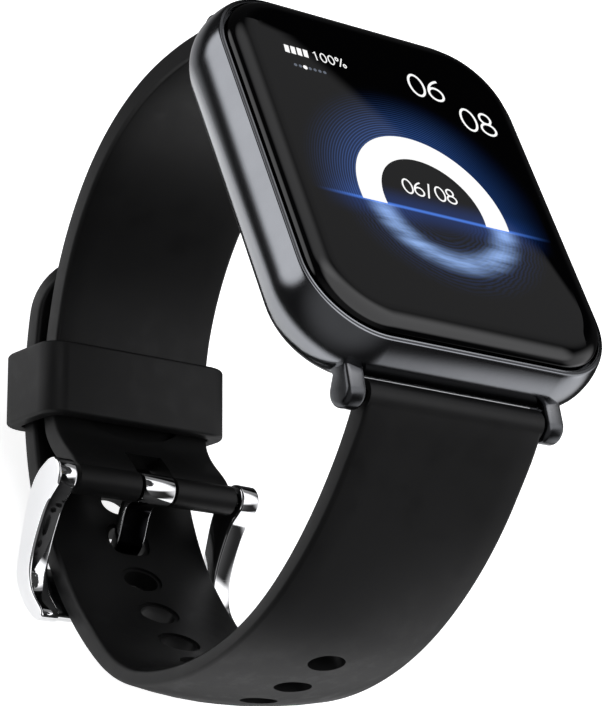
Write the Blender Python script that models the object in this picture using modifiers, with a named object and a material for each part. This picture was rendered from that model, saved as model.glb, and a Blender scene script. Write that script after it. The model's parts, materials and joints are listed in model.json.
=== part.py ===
"""Smartwatch with a rectangular case, a two-piece silicone strap and a pin buckle, closed as on a wrist.

Modelled in metres. +Z points out of the screen, +Y to 12 o'clock and +X to 3 o'clock.
The origin is the centre of the glass's flat face. Each object is one physical piece.
The dimensions below are in millimetres, with heights counted from the case's front rim. The root empty sits at
that level, and every hinge has an empty of its own that its pieces are parented to.
"""

import math

import bmesh
import bpy
from mathutils import Matrix, Vector

MM = 0.001
GLASS_TOP = 1.2

# Case outline: half width, half length and corner radius at the widest level.
CASE_HALF_X = 18.0
CASE_HALF_Y = 21.1
CASE_CORNER = 8.3
WIDEST_Z = -3.0
BACK_Z = -8.2
SPLIT_Z = -6.0
SEAM_GAP = 0.25
UNDERCUT = 5.5
UPPER_LEAN = 0.65
WALL = 2.2
SEAT_INSET = 1.12
LEDGE_INSET = 2.9
LEDGE_Z = -1.25
FLOOR_Z = -7.2
GLASS_MARGIN = 1.35
GLASS_CORNER = 6.95

# Spring bars that carry the straps, and the lugs round them.
LUG_Y = 22.2
LUG_Z = -5.5
LUG_NOSE_TOP = (22.0, -5.75, 1.15)
LUG_NOSE_BOTTOM = (22.2, -5.5, 1.55)
LUG_INNER_X = 10.35
LUG_OUTER_X = 12.4
LUG_BEVEL = 0.45
BAR_RADIUS = 0.75
BAR_TIP_RADIUS = 0.45
BAR_HOLE_RADIUS = 0.95

# Side button.
BUTTON_Z = -3.6
BUTTON_HALF_LENGTH = 2.9
BUTTON_RADIUS = 1.3
BUTTON_GAP = 0.25

# Back: screws, charging contacts and the sensor plinth.
SCREW_X = 11.0
SCREW_Y = 14.1
CONTACT_X = 2.2
CONTACT_Y = -12.6
MAGNET_X = 6.5
WINDOW_RADIUS = 7.2

# Straps: outer faces as chains of arcs (length, turn in degrees) in the YZ plane.
STRAP_HALF = 10.0
STRAP_EDGE = 0.8
SHORT_THICK = 2.4
LONG_THICK = 2.2
BARREL_RADIUS = 1.45
BARREL_HALF = 9.95
SHORT_START = (23.7, -5.5)
SHORT_HEADING = -60.0
SHORT_ARCS = ((11.0, -15.0), (18.0, -40.0), (18.5, -33.0), (16.5, -36.0))
SHORT_LIFT = 0.12
SHORT_OVERLAP = 0.75
SLEEVE_RISE = 2.3
LONG_START = (-23.7, -5.5)
LONG_HEADING = -128.0
LONG_ARCS = ((20.0, 30.0), (22.0, 40.0), (9.0, 30.0), (44.5, 67.0), (7.0, 29.0))
LONG_LIFT = 0.24
LONG_OVERLAP = 0.92
CROWN = 1.0
TIP_LENGTH = 8.0
HOLE_PITCH = 5.25
HOLE_FIRST = 26.75
HOLE_COUNT = 11
HOLE_HALF_WIDTH = 2.0
HOLE_HALF_LENGTH = 1.4

# Buckle: the bar that the frame and the tongue turn on.
PIVOT_Y = -0.9
PIVOT_Z = -47.2
SLEEVE_RADIUS = 1.55
SLEEVE_HALF = 9.45
SLEEVE_BORE = 0.85
ARM_INNER_X = 10.0
ARM_OUTER_X = 12.2

# Keeper loop, as a distance along the short strap, and the centre of the arc that it slides on.
KEEPER_AT = 50.4
KEEPER_HALF_X = 9.75
KEEPER_HEIGHT = 7.6
KEEPER_WALL = 1.5
KEEPER_INWARD = 3.0
KEEPER_OUTWARD = 4.0
KEEPER_ARC_Y = 0.35
KEEPER_ARC_Z = -24.6

# Colour, roughness and metallic value of each kind of finish.
FINISHES = {
    "anodised aluminium": ((0.16, 0.165, 0.185), 0.3, 1.0),
    "matt plastic": ((0.012, 0.012, 0.014), 0.45, 0.0),
    "black glass": ((0.002, 0.002, 0.003), 0.04, 0.0),
    "screen glass": ((0.004, 0.004, 0.006), 0.1, 0.0),
    "lens plastic": ((0.006, 0.007, 0.009), 0.06, 0.0),
    "seal rubber": ((0.03, 0.03, 0.03), 0.75, 0.0),
    "silicone": ((0.012, 0.012, 0.013), 0.48, 0.0),
    "polyimide film": ((0.32, 0.13, 0.02), 0.38, 0.0),
    "solder mask": ((0.01, 0.06, 0.035), 0.4, 0.0),
    "chip plastic": ((0.018, 0.018, 0.02), 0.5, 0.0),
    "clear led": ((0.55, 0.55, 0.46), 0.3, 0.0),
    "battery foil": ((0.36, 0.37, 0.39), 0.3, 0.6),
    "gold plate": ((0.66, 0.5, 0.26), 0.18, 1.0),
    "steel": ((0.52, 0.53, 0.55), 0.28, 1.0),
    "polished chrome": ((0.86, 0.86, 0.87), 0.06, 1.0),
}


# ---------------------------------------------------------------- scene and placing


def clear_scene():
    for obj in list(bpy.data.objects):
        bpy.data.objects.remove(obj, do_unlink=True)
    for mesh in list(bpy.data.meshes):
        bpy.data.meshes.remove(mesh)


def add_collection(name):
    collection = bpy.data.collections.new(name)
    bpy.context.scene.collection.children.link(collection)
    return collection


def level(x, y, z):
    """A point in millimetres from the rim's centre, in metres."""
    return Vector((x * MM, y * MM, z * MM))


def add_empty(name, at, parent=None):
    """An empty at a joint's axis, or at the rim's centre."""
    empty = bpy.data.objects.new(name, None)
    empty.empty_display_size = 3 * MM
    empty.parent = parent
    empty.location = at
    PARTS.objects.link(empty)
    return empty


def offset_of(empty):
    """Where an empty is, counted from the rim's centre."""
    offset = Vector((0.0, 0.0, 0.0))
    while empty is not ROOT:
        offset += empty.location
        empty = empty.parent
    return offset


def put(obj, at=(0.0, 0.0, 0.0), holder=None):
    """Places an object built round its own origin at a point in millimetres, held by an empty."""
    holder = holder or ROOT
    obj.parent = holder
    obj.location = level(*at) - offset_of(holder)
    return obj


def finish(obj, kind, smooth_angle=35.0):
    """Makes the object a part with a material of its own, and shades its round faces smooth."""
    colour, roughness, metallic = FINISHES[kind]
    material = bpy.data.materials.new(f"{obj.name} {kind}")
    material.use_nodes = True
    shader = material.node_tree.nodes["Principled BSDF"]
    shader.inputs["Base Color"].default_value = (*colour, 1.0)
    shader.inputs["Roughness"].default_value = roughness
    shader.inputs["Metallic"].default_value = metallic
    obj.data.materials.append(material)
    if obj.type == "MESH" and obj.data.polygons:
        obj.data.shade_smooth()
        obj.data.set_sharp_from_angle(angle=math.radians(smooth_angle))
    return obj


def helper(obj):
    """Moves an object to the collection of shapes that only cut or join."""
    for collection in list(obj.users_collection):
        collection.objects.unlink(obj)
    HELPERS.objects.link(obj)
    obj.hide_render = True
    obj.display_type = "WIRE"
    return obj


def combine(obj, other, operation):
    modifier = obj.modifiers.new(f"{operation.lower()} {other.name}", "BOOLEAN")
    modifier.operation = operation
    modifier.solver = "EXACT"
    modifier.object = helper(other)


def join(obj, *others):
    for other in others:
        combine(obj, other, "UNION")


def cut(obj, *others):
    for other in others:
        combine(obj, other, "DIFFERENCE")


def bevel(obj, width, segments=1, angle=40.0):
    modifier = obj.modifiers.new("bevel", "BEVEL")
    modifier.width = width * MM
    modifier.segments = segments
    modifier.limit_method = "ANGLE"
    modifier.angle_limit = math.radians(angle)
    return obj


def mirror(obj, *axes):
    """Repeats the object on the other side of the watch's middle planes."""
    modifier = obj.modifiers.new("mirror", "MIRROR")
    modifier.use_axis = ["X" in axes, "Y" in axes, False]
    modifier.mirror_object = ROOT
    return obj


# ---------------------------------------------------------------- shapes


def box(name, x, y, z, edge=0.0):
    """A block between (low, high) pairs, with chamfered edges on request."""
    bpy.ops.mesh.primitive_cube_add(size=1.0)
    obj = bpy.context.active_object
    obj.name = name
    obj.data.name = name
    size = [(high - low) * MM for low, high in (x, y, z)]
    obj.data.transform(Matrix.Diagonal((*size, 1.0)))
    put(obj, [(low + high) / 2 for low, high in (x, y, z)])
    if edge:
        bevel(obj, edge)
    return obj


def cylinder(name, radius, low, high, at, axis="Z", vertices=20):
    """A cylinder from low to high along its axis, which passes through a point of the other two coordinates."""
    bpy.ops.mesh.primitive_cylinder_add(vertices=vertices, radius=radius * MM, depth=(high - low) * MM)
    obj = bpy.context.active_object
    obj.name = name
    obj.data.name = name
    middle = (low + high) / 2
    if axis == "X":
        obj.rotation_euler = (0.0, math.pi / 2, 0.0)
        return put(obj, (middle, at[0], at[1]))
    return put(obj, (at[0], at[1], middle))


def turned(name, profile, at=(0.0, 0.0), axis="Z", steps=20, hollow=False):
    """A profile of (radius, height) pairs down its outer side, turned about its axis with a Screw modifier."""
    points = list(profile)
    if not hollow:
        points = [(0.0, points[0][1])] + points + [(0.0, points[-1][1])]
    mesh = bpy.data.meshes.new(name)
    edges = [(i, i + 1) for i in range(len(points) - 1)]
    if hollow:
        edges.append((len(points) - 1, 0))
    mesh.from_pydata([(r * MM, 0.0, h * MM) for r, h in points], edges, [])
    obj = bpy.data.objects.new(name, mesh)
    PARTS.objects.link(obj)
    screw = obj.modifiers.new("turn", "SCREW")
    screw.axis = "Z"
    screw.angle = 2 * math.pi
    screw.steps = steps
    screw.render_steps = steps
    screw.use_merge_vertices = True
    screw.merge_threshold = 0.00001
    screw.use_smooth_shade = True
    if axis == "X":
        obj.rotation_euler = (0.0, math.pi / 2, 0.0)
        return put(obj, (0.0, at[0], at[1]))
    return put(obj, (at[0], at[1], 0.0))


def outline_curve(name, outlines, low, high, plane):
    """Flat outlines filled and given a thickness. Plane XY stands along Z, and plane YZ along X."""
    curve = bpy.data.curves.new(name, "CURVE")
    curve.dimensions = "2D"
    curve.fill_mode = "BOTH"
    curve.extrude = (high - low) / 2 * MM
    for outline in outlines:
        spline = curve.splines.new("POLY")
        spline.points.add(len(outline) - 1)
        spline.use_cyclic_u = True
        for point, (u, v) in zip(spline.points, outline):
            point.co = (u * MM, v * MM, 0.0, 1.0)
    obj = bpy.data.objects.new(name, curve)
    PARTS.objects.link(obj)
    middle = (low + high) / 2
    if plane == "YZ":
        obj.rotation_euler = (math.pi / 2, 0.0, math.pi / 2)
        return put(obj, (middle, 0.0, 0.0))
    return put(obj, (0.0, 0.0, middle))


def as_mesh(curve_obj):
    """The same solid as one closed mesh, which Booleans and bevels can work on."""
    name = curve_obj.name
    holder = curve_obj.parent
    bpy.context.view_layer.update()
    graph = bpy.context.evaluated_depsgraph_get()
    mesh = bpy.data.meshes.new_from_object(curve_obj.evaluated_get(graph))
    bm = bmesh.new()
    bm.from_mesh(mesh)
    bmesh.ops.remove_doubles(bm, verts=bm.verts, dist=0.000001)
    bmesh.ops.recalc_face_normals(bm, faces=bm.faces)
    bm.to_mesh(mesh)
    bm.free()
    place = curve_obj.matrix_world.copy()
    bpy.data.objects.remove(curve_obj, do_unlink=True)
    mesh.name = name
    obj = bpy.data.objects.new(name, mesh)
    PARTS.objects.link(obj)
    obj.parent = holder
    obj.matrix_world = place
    return obj


def plate(name, outline, low, high, edge=0.0):
    """A flat piece lying in the XY plane."""
    obj = outline_curve(name, [outline], low, high, "XY")
    if edge:
        obj = bevel(as_mesh(obj), edge)
    return obj


def slab(name, outline, low, high, edge=0.0, segments=1):
    """An outline of (y, z) pairs given a thickness along X, always as a mesh."""
    obj = as_mesh(outline_curve(name, [outline], low, high, "YZ"))
    if edge:
        bevel(obj, edge, segments)
    return obj


def loft(name, rings, ring_loop=False, holder=None):
    """Skin over unlike rings with the same number of points. The ends are capped, or joined in a loop."""
    origin = offset_of(holder or ROOT)
    count = len(rings[0])
    bm = bmesh.new()
    rows = [[bm.verts.new(level(*point) - origin) for point in ring] for ring in rings]
    pairs = list(zip(rows, rows[1:]))
    if ring_loop:
        pairs.append((rows[-1], rows[0]))
    for row, following in pairs:
        for j in range(count):
            k = (j + 1) % count
            bm.faces.new((row[j], row[k], following[k], following[j]))
    if not ring_loop:
        bm.faces.new(rows[0])
        bm.faces.new(rows[-1])
    bmesh.ops.recalc_face_normals(bm, faces=bm.faces)
    mesh = bpy.data.meshes.new(name)
    bm.to_mesh(mesh)
    bm.free()
    obj = bpy.data.objects.new(name, mesh)
    PARTS.objects.link(obj)
    obj.parent = holder or ROOT
    return obj


def rounded_rectangle(half_x, half_y, radius, corner_points=6, middle_y=0.0):
    """The outline of a rounded rectangle, as (x, y) pairs."""
    outline = []
    for turn, (sx, sy) in enumerate(((1, 1), (-1, 1), (-1, -1), (1, -1))):
        for i in range(corner_points):
            angle = math.radians(90 * turn + 90 * i / (corner_points - 1))
            x = sx * (half_x - radius) + radius * math.cos(angle)
            y = sy * (half_y - radius) + radius * math.sin(angle)
            outline.append((x, y + middle_y))
    return outline


def case_outline(inset, corner_points=6):
    radius = max(CASE_CORNER - inset, 1.0)
    return rounded_rectangle(CASE_HALF_X - inset, CASE_HALF_Y - inset, radius, corner_points)


def case_ring(inset, z):
    """The case outline moved inwards, at one level."""
    return [(x, y, z) for x, y in case_outline(inset)]


def outer_inset(z):
    """How far the case's side lies inside its widest outline at a level."""
    if z < WIDEST_Z:
        rise = (WIDEST_Z - z) / (WIDEST_Z - BACK_Z)
        return UNDERCUT - UNDERCUT * math.sqrt(max(0.0, 1.0 - rise * rise))
    return UPPER_LEAN * ((z - WIDEST_Z) / -WIDEST_Z) ** 2.2


def arc_point(start, heading, arcs, distance):
    """Where a chain of arcs is after a distance: its (y, z) point and its heading in radians."""
    y, z = start
    angle = math.radians(heading)
    left = distance
    for number, (length, turn) in enumerate(arcs):
        last = number == len(arcs) - 1
        step = left if last else min(left, length)
        bend = math.radians(turn) * step / length
        chord = step
        if abs(bend) > 1e-9:
            chord = step * math.sin(bend / 2) / (bend / 2)
        y += chord * math.cos(angle + bend / 2)
        z += chord * math.sin(angle + bend / 2)
        angle += bend
        left -= step
        if left <= 1e-9:
            break
    return (y, z), angle


def clamp(value):
    return max(0.0, min(1.0, value))


def ease(value):
    """A smooth step from 0 to 1."""
    value = clamp(value)
    return value * value * (3 - 2 * value)


def chain_length(arcs):
    return sum(length for length, _ in arcs)


# ---------------------------------------------------------------- case and front


def make_case():
    outer = [(outer_inset(z), z) for z in (SPLIT_Z, -5.2, -4.2, WIDEST_Z, -2.0, -1.1, -0.45, -0.12)]
    rim = [(0.74, 0.0), (SEAT_INSET - 0.1, 0.0), (SEAT_INSET, -0.1)]
    inner = [(SEAT_INSET, LEDGE_Z), (LEDGE_INSET, LEDGE_Z), (LEDGE_INSET, -1.9), (WALL, -2.4), (WALL, SPLIT_Z)]
    case = loft("case_body", [case_ring(inset, z) for inset, z in outer + rim + inner], ring_loop=True)
    for end, side, nose in (("top", 1, LUG_NOSE_TOP), ("bottom", -1, LUG_NOSE_BOTTOM)):
        lug = slab(f"lugs_{end}", lug_outline(side, nose), LUG_INNER_X, LUG_OUTER_X, LUG_BEVEL)
        join(case, mirror(lug, "X"))
    tips = cylinder("bar_tips_cutter", BAR_TIP_RADIUS + 0.15, 9.0, 11.9, (LUG_Y, LUG_Z), "X", 12)
    recess = slab("button_recess", button_outline(BUTTON_GAP), 16.85, 20.0)
    stem = cylinder("button_stem_hole", 0.8, 14.0, 18.0, (0.0, BUTTON_Z), "X", 16)
    cut(case, mirror(tips, "X", "Y"), recess, stem)
    finish(case, "anodised aluminium")


def lug_outline(side, nose):
    """A lug's outline in (y, z): a foot in the case's side and a round nose (y, z, radius) for the spring bar."""
    outline = [(19.4, -3.3), (19.4, -5.8), (20.35, -5.85), (20.9, -6.4)]
    for i in range(9):
        angle = math.radians(-125 + 195 * i / 8)
        outline.append((nose[0] + nose[2] * math.cos(angle), nose[1] + nose[2] * math.sin(angle)))
    return [(side * y, z) for y, z in outline]


def button_outline(margin):
    """The pill outline of the side button, in (y, z)."""
    half = BUTTON_RADIUS + margin
    outline = []
    for middle, first in ((BUTTON_HALF_LENGTH, -90), (-BUTTON_HALF_LENGTH, 90)):
        for i in range(9):
            angle = math.radians(first + 180 * i / 8)
            outline.append((middle + half * math.cos(angle), BUTTON_Z + half * math.sin(angle)))
    return outline


def make_glass():
    """The cover glass: a straight edge that curves over to the flat face."""
    half_x = CASE_HALF_X - GLASS_MARGIN
    half_y = CASE_HALF_Y - GLASS_MARGIN
    profile = ((0.15, -0.95), (0.0, -0.8), (0.0, 0.05), (0.14, 0.42), (0.6, 0.8), (1.4, 1.06), (2.5, GLASS_TOP))
    rings = []
    for inset, z in profile:
        outline = rounded_rectangle(half_x - inset, half_y - inset, GLASS_CORNER - inset)
        rings.append([(x, y, z) for x, y in outline])
    finish(loft("front_glass", rings), "black glass")


def make_front():
    """The gasket under the glass, the screen, its ribbon and the frame behind it."""
    gasket = outline_curve("glass_gasket", [case_outline(1.45, 5), case_outline(2.7, 5)], -1.2, -1.0, "XY")
    finish(gasket, "seal rubber")
    finish(plate("display_panel", rounded_rectangle(14.6, 17.4, 4.8, 5), -2.15, -1.05), "screen glass")
    frame = as_mesh(plate("mid_frame", rounded_rectangle(13.7, 16.6, 4.0, 5), -3.0, -2.3))
    posts = cylinder("screw_posts", 1.5, -6.9, -2.6, (SCREW_X, SCREW_Y), vertices=14)
    threads = cylinder("screw_threads", 0.6, -7.5, -3.9, (SCREW_X, SCREW_Y), vertices=12)
    join(frame, mirror(posts, "X", "Y"))
    cut(frame, mirror(threads, "X", "Y"))
    finish(frame, "steel")
    front = [(-16.9, -2.22), (-17.9, -2.25), (-18.3, -2.7), (-18.3, -3.9), (-17.9, -4.35), (-15.4, -4.35)]
    back = [(-15.4, -4.2), (-17.8, -4.2), (-18.12, -3.85), (-18.12, -2.75), (-17.8, -2.42), (-16.9, -2.38)]
    finish(slab("display_flex", front + back, -4.0, 4.0), "polyimide film")


def make_inside():
    """Circuit board, battery, motor and antenna."""
    outline = [(9.0, 16.6), (-9.0, 16.6), (-9.0, 12.0), (-13.6, 12.0), (-13.6, -12.0), (-9.0, -12.0)]
    outline += [(-9.0, -16.6), (9.0, -16.6), (9.0, -12.0), (13.6, -12.0), (13.6, -2.6), (12.1, -2.6)]
    outline += [(12.1, 2.6), (13.6, 2.6), (13.6, 12.0), (9.0, 12.0)]
    finish(plate("main_pcb", outline, -4.0, -3.35), "solder mask")
    finish(box("processor_chip", (-8.6, -2.4), (-10.8, -4.6), (-5.0, -4.1), 0.15), "chip plastic")
    finish(box("memory_chip", (0.4, 5.0), (-10.2, -5.4), (-4.9, -4.1), 0.15), "chip plastic")
    finish(box("power_chip", (7.4, 11.2), (-9.8, -6.0), (-4.8, -4.1), 0.12), "chip plastic")
    cell = plate("battery", rounded_rectangle(10.5, 7.2, 1.2, 4, middle_y=4.2), -6.35, -4.25, 0.25)
    finish(cell, "battery foil")
    motor = cylinder("vibration_motor", 2.45, -6.4, -4.2, (5.2, 14.3))
    finish(bevel(motor, 0.22), "steel")
    finish(box("antenna_strip", (-14.9, -14.5), (-9.0, 9.0), (-5.1, -3.3), 0.08), "gold plate")


# ---------------------------------------------------------------- back


def make_rear_cover():
    outer = [(outer_inset(z), z) for z in (BACK_Z, -8.0, -7.6, -7.0, SPLIT_Z - SEAM_GAP)]
    lip = [(2.5, SPLIT_Z - SEAM_GAP), (2.5, -5.4), (3.3, -5.4), (3.3, -6.3), (4.3, -6.95), (6.0, FLOOR_Z)]
    cover = loft("rear_cover", [case_ring(inset, z) for inset, z in outer + lip])
    join(cover, turned("sensor_plinth", [(10.6, -7.9), (10.6, -8.25), (9.9, -9.0)], steps=28))
    window = cylinder("window_cutter", 7.5, -9.5, -6.9, (0.0, 0.0), vertices=24)
    heads = cylinder("screw_head_cutter", 1.25, -8.6, -7.6, (SCREW_X, SCREW_Y), vertices=14)
    shafts = cylinder("screw_shaft_cutter", 0.7, -8.0, -6.9, (SCREW_X, SCREW_Y), vertices=12)
    contacts = cylinder("contact_cutter", 1.15, -8.6, -6.9, (CONTACT_X, CONTACT_Y), vertices=14)
    cut(cover, window, mirror(heads, "X", "Y"), mirror(shafts, "X", "Y"), mirror(contacts, "X"))
    finish(cover, "matt plastic")


def make_rear_fittings():
    """The seal, the screws, the charging contacts with their magnets, and the sensor under its window."""
    seal = outline_curve("rear_seal", [case_outline(1.45, 5), case_outline(2.4, 5)], -6.2, -6.05, "XY")
    finish(seal, "seal rubber")
    screw = [(0.35, -4.1), (0.5, -4.3), (0.5, -7.65), (1.1, -7.65), (1.1, -8.0), (0.85, -8.12)]
    corners = ((1, 1), (-1, 1), (1, -1), (-1, -1))
    for number, (sx, sy) in enumerate(corners, 1):
        at = (sx * SCREW_X, sy * SCREW_Y)
        finish(turned(f"rear_screw_{number}", screw, at, steps=10), "steel")
    pin = [(0.95, -6.9), (0.95, -8.15), (0.75, -8.3)]
    for side, sx in (("left", -1), ("right", 1)):
        finish(turned(f"charge_pin_{side}", pin, (sx * CONTACT_X, CONTACT_Y), steps=14), "gold plate")
        magnet = cylinder(f"charge_magnet_{side}", 1.6, -7.1, -6.2, (sx * MAGNET_X, -12.4), vertices=16)
        finish(magnet, "steel")
    finish(plate("sensor_board", rounded_rectangle(8.1, 8.1, 2.0, 4), -7.0, -6.5), "solder mask")
    finish(box("sensor_led_green", (-3.6, -1.8), (-1.1, 1.1), (-7.8, -7.1), 0.1), "clear led")
    finish(box("sensor_led_red", (1.8, 3.6), (-1.1, 1.1), (-7.8, -7.1), 0.1), "clear led")
    finish(box("photodiode", (-1.2, 1.2), (2.2, 4.6), (-7.7, -7.1), 0.1), "chip plastic")
    lens = [(WINDOW_RADIUS - 0.05, -8.2), (WINDOW_RADIUS, -8.25), (WINDOW_RADIUS, -9.0), (6.4, -9.3)]
    finish(turned("sensor_window", lens, steps=28), "lens plastic")


# ---------------------------------------------------------------- button and spring bars


def make_button():
    """The push button at 3 o'clock with its seal, its retaining clip and the switch that it presses."""
    button = slab("side_button", button_outline(0.0), 17.45, 18.8, 0.22)
    stem = cylinder("button_stem", 0.6, 14.4, 17.6, (0.0, BUTTON_Z), "X", 14)
    groove = [(0.9, 15.0), (0.9, 14.6), (0.5, 14.6), (0.5, 15.0)]
    join(button, stem)
    cut(button, turned("clip_groove", groove, (0.0, BUTTON_Z), "X", 14, hollow=True))
    hold(finish(button, "anodised aluminium"), BUTTON_AXIS)
    clip = [(1.35, 14.95), (1.35, 14.65), (0.55, 14.65), (0.55, 14.95)]
    clip_ring = turned("button_clip", clip, (0.0, BUTTON_Z), "X", 14, hollow=True)
    hold(finish(clip_ring, "steel"), BUTTON_AXIS)
    seal = [(1.15, 15.7), (1.15, 15.2), (0.68, 15.2), (0.68, 15.7)]
    finish(turned("button_seal", seal, (0.0, BUTTON_Z), "X", 14, hollow=True), "seal rubber")
    finish(box("button_switch", (12.5, 13.75), (-1.8, 1.8), (-4.7, -3.2), 0.1), "chip plastic")


def hold(obj, holder):
    """Hands a placed object over to a joint's empty without moving it."""
    obj.location -= offset_of(holder) - offset_of(obj.parent)
    obj.parent = holder
    return obj


def make_spring_bars():
    half = [(BAR_RADIUS, 9.9), (BAR_TIP_RADIUS, 10.0), (BAR_TIP_RADIUS, 11.45), (0.3, 11.6)]
    profile = half[::-1] + [(radius, -x) for radius, x in half]
    for end, side in (("top", 1), ("bottom", -1)):
        finish(turned(f"spring_bar_{end}", profile, (side * LUG_Y, LUG_Z), "X", 12), "steel")


# ---------------------------------------------------------------- strap


def strap_section(point, angle, side, half, thick, rise=0.0, crown=0.0):
    """A rounded cross-section between its outer face on the point and its inner face, bulging out by the crown."""
    ny = -math.sin(angle) * side
    nz = math.cos(angle) * side
    edge = min(STRAP_EDGE, thick / 2 - 0.05, half - 0.05)
    flat = []
    for turn, (sx, inner) in enumerate(((1, True), (-1, True), (-1, False), (1, False))):
        for i in range(3):
            theta = math.radians(90 * turn + 45 * i)
            x = sx * (half - edge) + edge * math.cos(theta)
            flat.append((x, (thick - edge if inner else edge) + edge * math.sin(theta)))
        if turn == 2:
            for part in (-0.5, 0.0, 0.5):
                flat.append((part * (half - edge), 0.0))
    ring = []
    for x, depth in flat:
        depth -= crown * (1 - (x / half) ** 2) * (1 - depth / thick) - rise
        ring.append((x, point[0] + ny * depth, point[1] + nz * depth))
    return ring


def make_strap_short():
    """The 12 o'clock half. It narrows to the keeper and rises into the sleeve round the buckle's bar."""
    total = chain_length(SHORT_ARCS)
    rings = []
    stations = 26
    for i in range(stations + 1):
        s = (total + SHORT_OVERLAP) * i / stations - SHORT_OVERLAP
        point, angle = arc_point(SHORT_START, SHORT_HEADING, SHORT_ARCS, s)
        half = STRAP_HALF - 0.6 * clamp((s - 8.0) / 35.0)
        lift = SHORT_LIFT * (1 - ease(s / 6.0))
        rise = SLEEVE_RISE * ease((s - 55.0) / 7.5)
        rings.append(strap_section(point, angle, -1, half, SHORT_THICK + lift, rise - lift))
    strap = loft("strap_short", rings, holder=STRAP_SHORT_AXIS)
    lug = (LUG_Y, LUG_Z)
    pivot = (PIVOT_Y, PIVOT_Z)
    join(strap, cylinder("short_barrel", BARREL_RADIUS, -BARREL_HALF, BARREL_HALF, lug, "X"))
    join(strap, cylinder("buckle_sleeve", SLEEVE_RADIUS, -SLEEVE_HALF, SLEEVE_HALF, pivot, "X"))
    cut(strap, cylinder("short_bar_cutter", BAR_HOLE_RADIUS, -11.0, 11.0, lug, "X", 14))
    cut(strap, cylinder("buckle_bar_cutter", SLEEVE_BORE, -11.0, 11.0, pivot, "X", 14))
    cut(strap, box("tongue_slot", (-2.2, 2.2), (-4.5, 3.4), (-53.0, -44.5)))
    finish(strap, "silicone")


def hole_cutters():
    """One object with an oval plug for each adjustment hole."""
    bm = bmesh.new()
    for number in range(HOLE_COUNT):
        s = HOLE_FIRST + HOLE_PITCH * number
        point, angle = arc_point(LONG_START, LONG_HEADING, LONG_ARCS, s)
        middle = LONG_THICK / 2
        y = point[0] - math.sin(angle) * middle
        z = point[1] + math.cos(angle) * middle
        place = Matrix.Translation(level(0.0, y, z)) @ Matrix.Rotation(angle, 4, "X")
        shape = Matrix.Diagonal((HOLE_HALF_WIDTH * MM, HOLE_HALF_LENGTH * MM, MM, 1.0))
        settings = {"cap_ends": True, "segments": 12, "radius1": 1.0, "radius2": 1.0, "depth": LONG_THICK + 3.4}
        turn = Matrix.Rotation(math.pi / 12, 4, "Z")
        bmesh.ops.create_cone(bm, matrix=place @ shape @ turn, **settings)
    mesh = bpy.data.meshes.new("hole_cutters")
    bm.to_mesh(mesh)
    bm.free()
    obj = bpy.data.objects.new("hole_cutters", mesh)
    PARTS.objects.link(obj)
    return put(obj)


def make_strap_long():
    """The 6 o'clock half. Its outer face is crowned across the wrist's underside, and it ends in a round tip."""
    total = chain_length(LONG_ARCS)
    rings = []
    stations = 44
    for i in range(stations + 1):
        s = (total + LONG_OVERLAP) * i / stations - LONG_OVERLAP
        point, angle = arc_point(LONG_START, LONG_HEADING, LONG_ARCS, s)
        half = STRAP_HALF - 0.7 * clamp((s - 45.0) / 20.0)
        tip = clamp((s - (total - TIP_LENGTH)) / TIP_LENGTH)
        half *= math.sqrt(1.0 - 0.9 * tip * tip)
        lift = LONG_LIFT * (1 - ease(s / 6.0))
        crown = CROWN * ease((s - 6.0) / 22.0) * (1 - ease((s - 44.0) / 12.0))
        rings.append(strap_section(point, angle, 1, half, LONG_THICK + lift, -lift, crown))
    strap = loft("strap_long", rings, holder=STRAP_LONG_AXIS)
    lug = (-LUG_Y, LUG_Z)
    join(strap, cylinder("long_barrel", BARREL_RADIUS, -BARREL_HALF, BARREL_HALF, lug, "X"))
    cut(strap, cylinder("long_bar_cutter", BAR_HOLE_RADIUS, -11.0, 11.0, lug, "X", 14))
    cut(strap, hole_cutters())
    finish(strap, "silicone")


def make_keeper():
    """The loose loop round the two strap ends."""
    point, angle = arc_point(SHORT_START, SHORT_HEADING, SHORT_ARCS, KEEPER_AT)
    middle = (KEEPER_INWARD - KEEPER_OUTWARD) / 2
    y = point[0] + math.sin(angle) * middle
    z = point[1] - math.cos(angle) * middle
    half_depth = (KEEPER_INWARD + KEEPER_OUTWARD) / 2
    outer = rounded_rectangle(KEEPER_HALF_X + KEEPER_WALL, half_depth + KEEPER_WALL, 2.4, 5)
    inner = rounded_rectangle(KEEPER_HALF_X, half_depth, 1.0, 5)
    loop = outline_curve("keeper_loop", [outer, inner], -KEEPER_HEIGHT / 2, KEEPER_HEIGHT / 2, "XY")
    loop.rotation_euler = (angle - math.pi / 2, 0.0, 0.0)
    put(loop, (0.0, y, z))
    loop = hold(as_mesh(loop), KEEPER_AXIS)
    finish(bevel(loop, 0.35, angle=60.0), "silicone")


# ---------------------------------------------------------------- buckle


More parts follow.
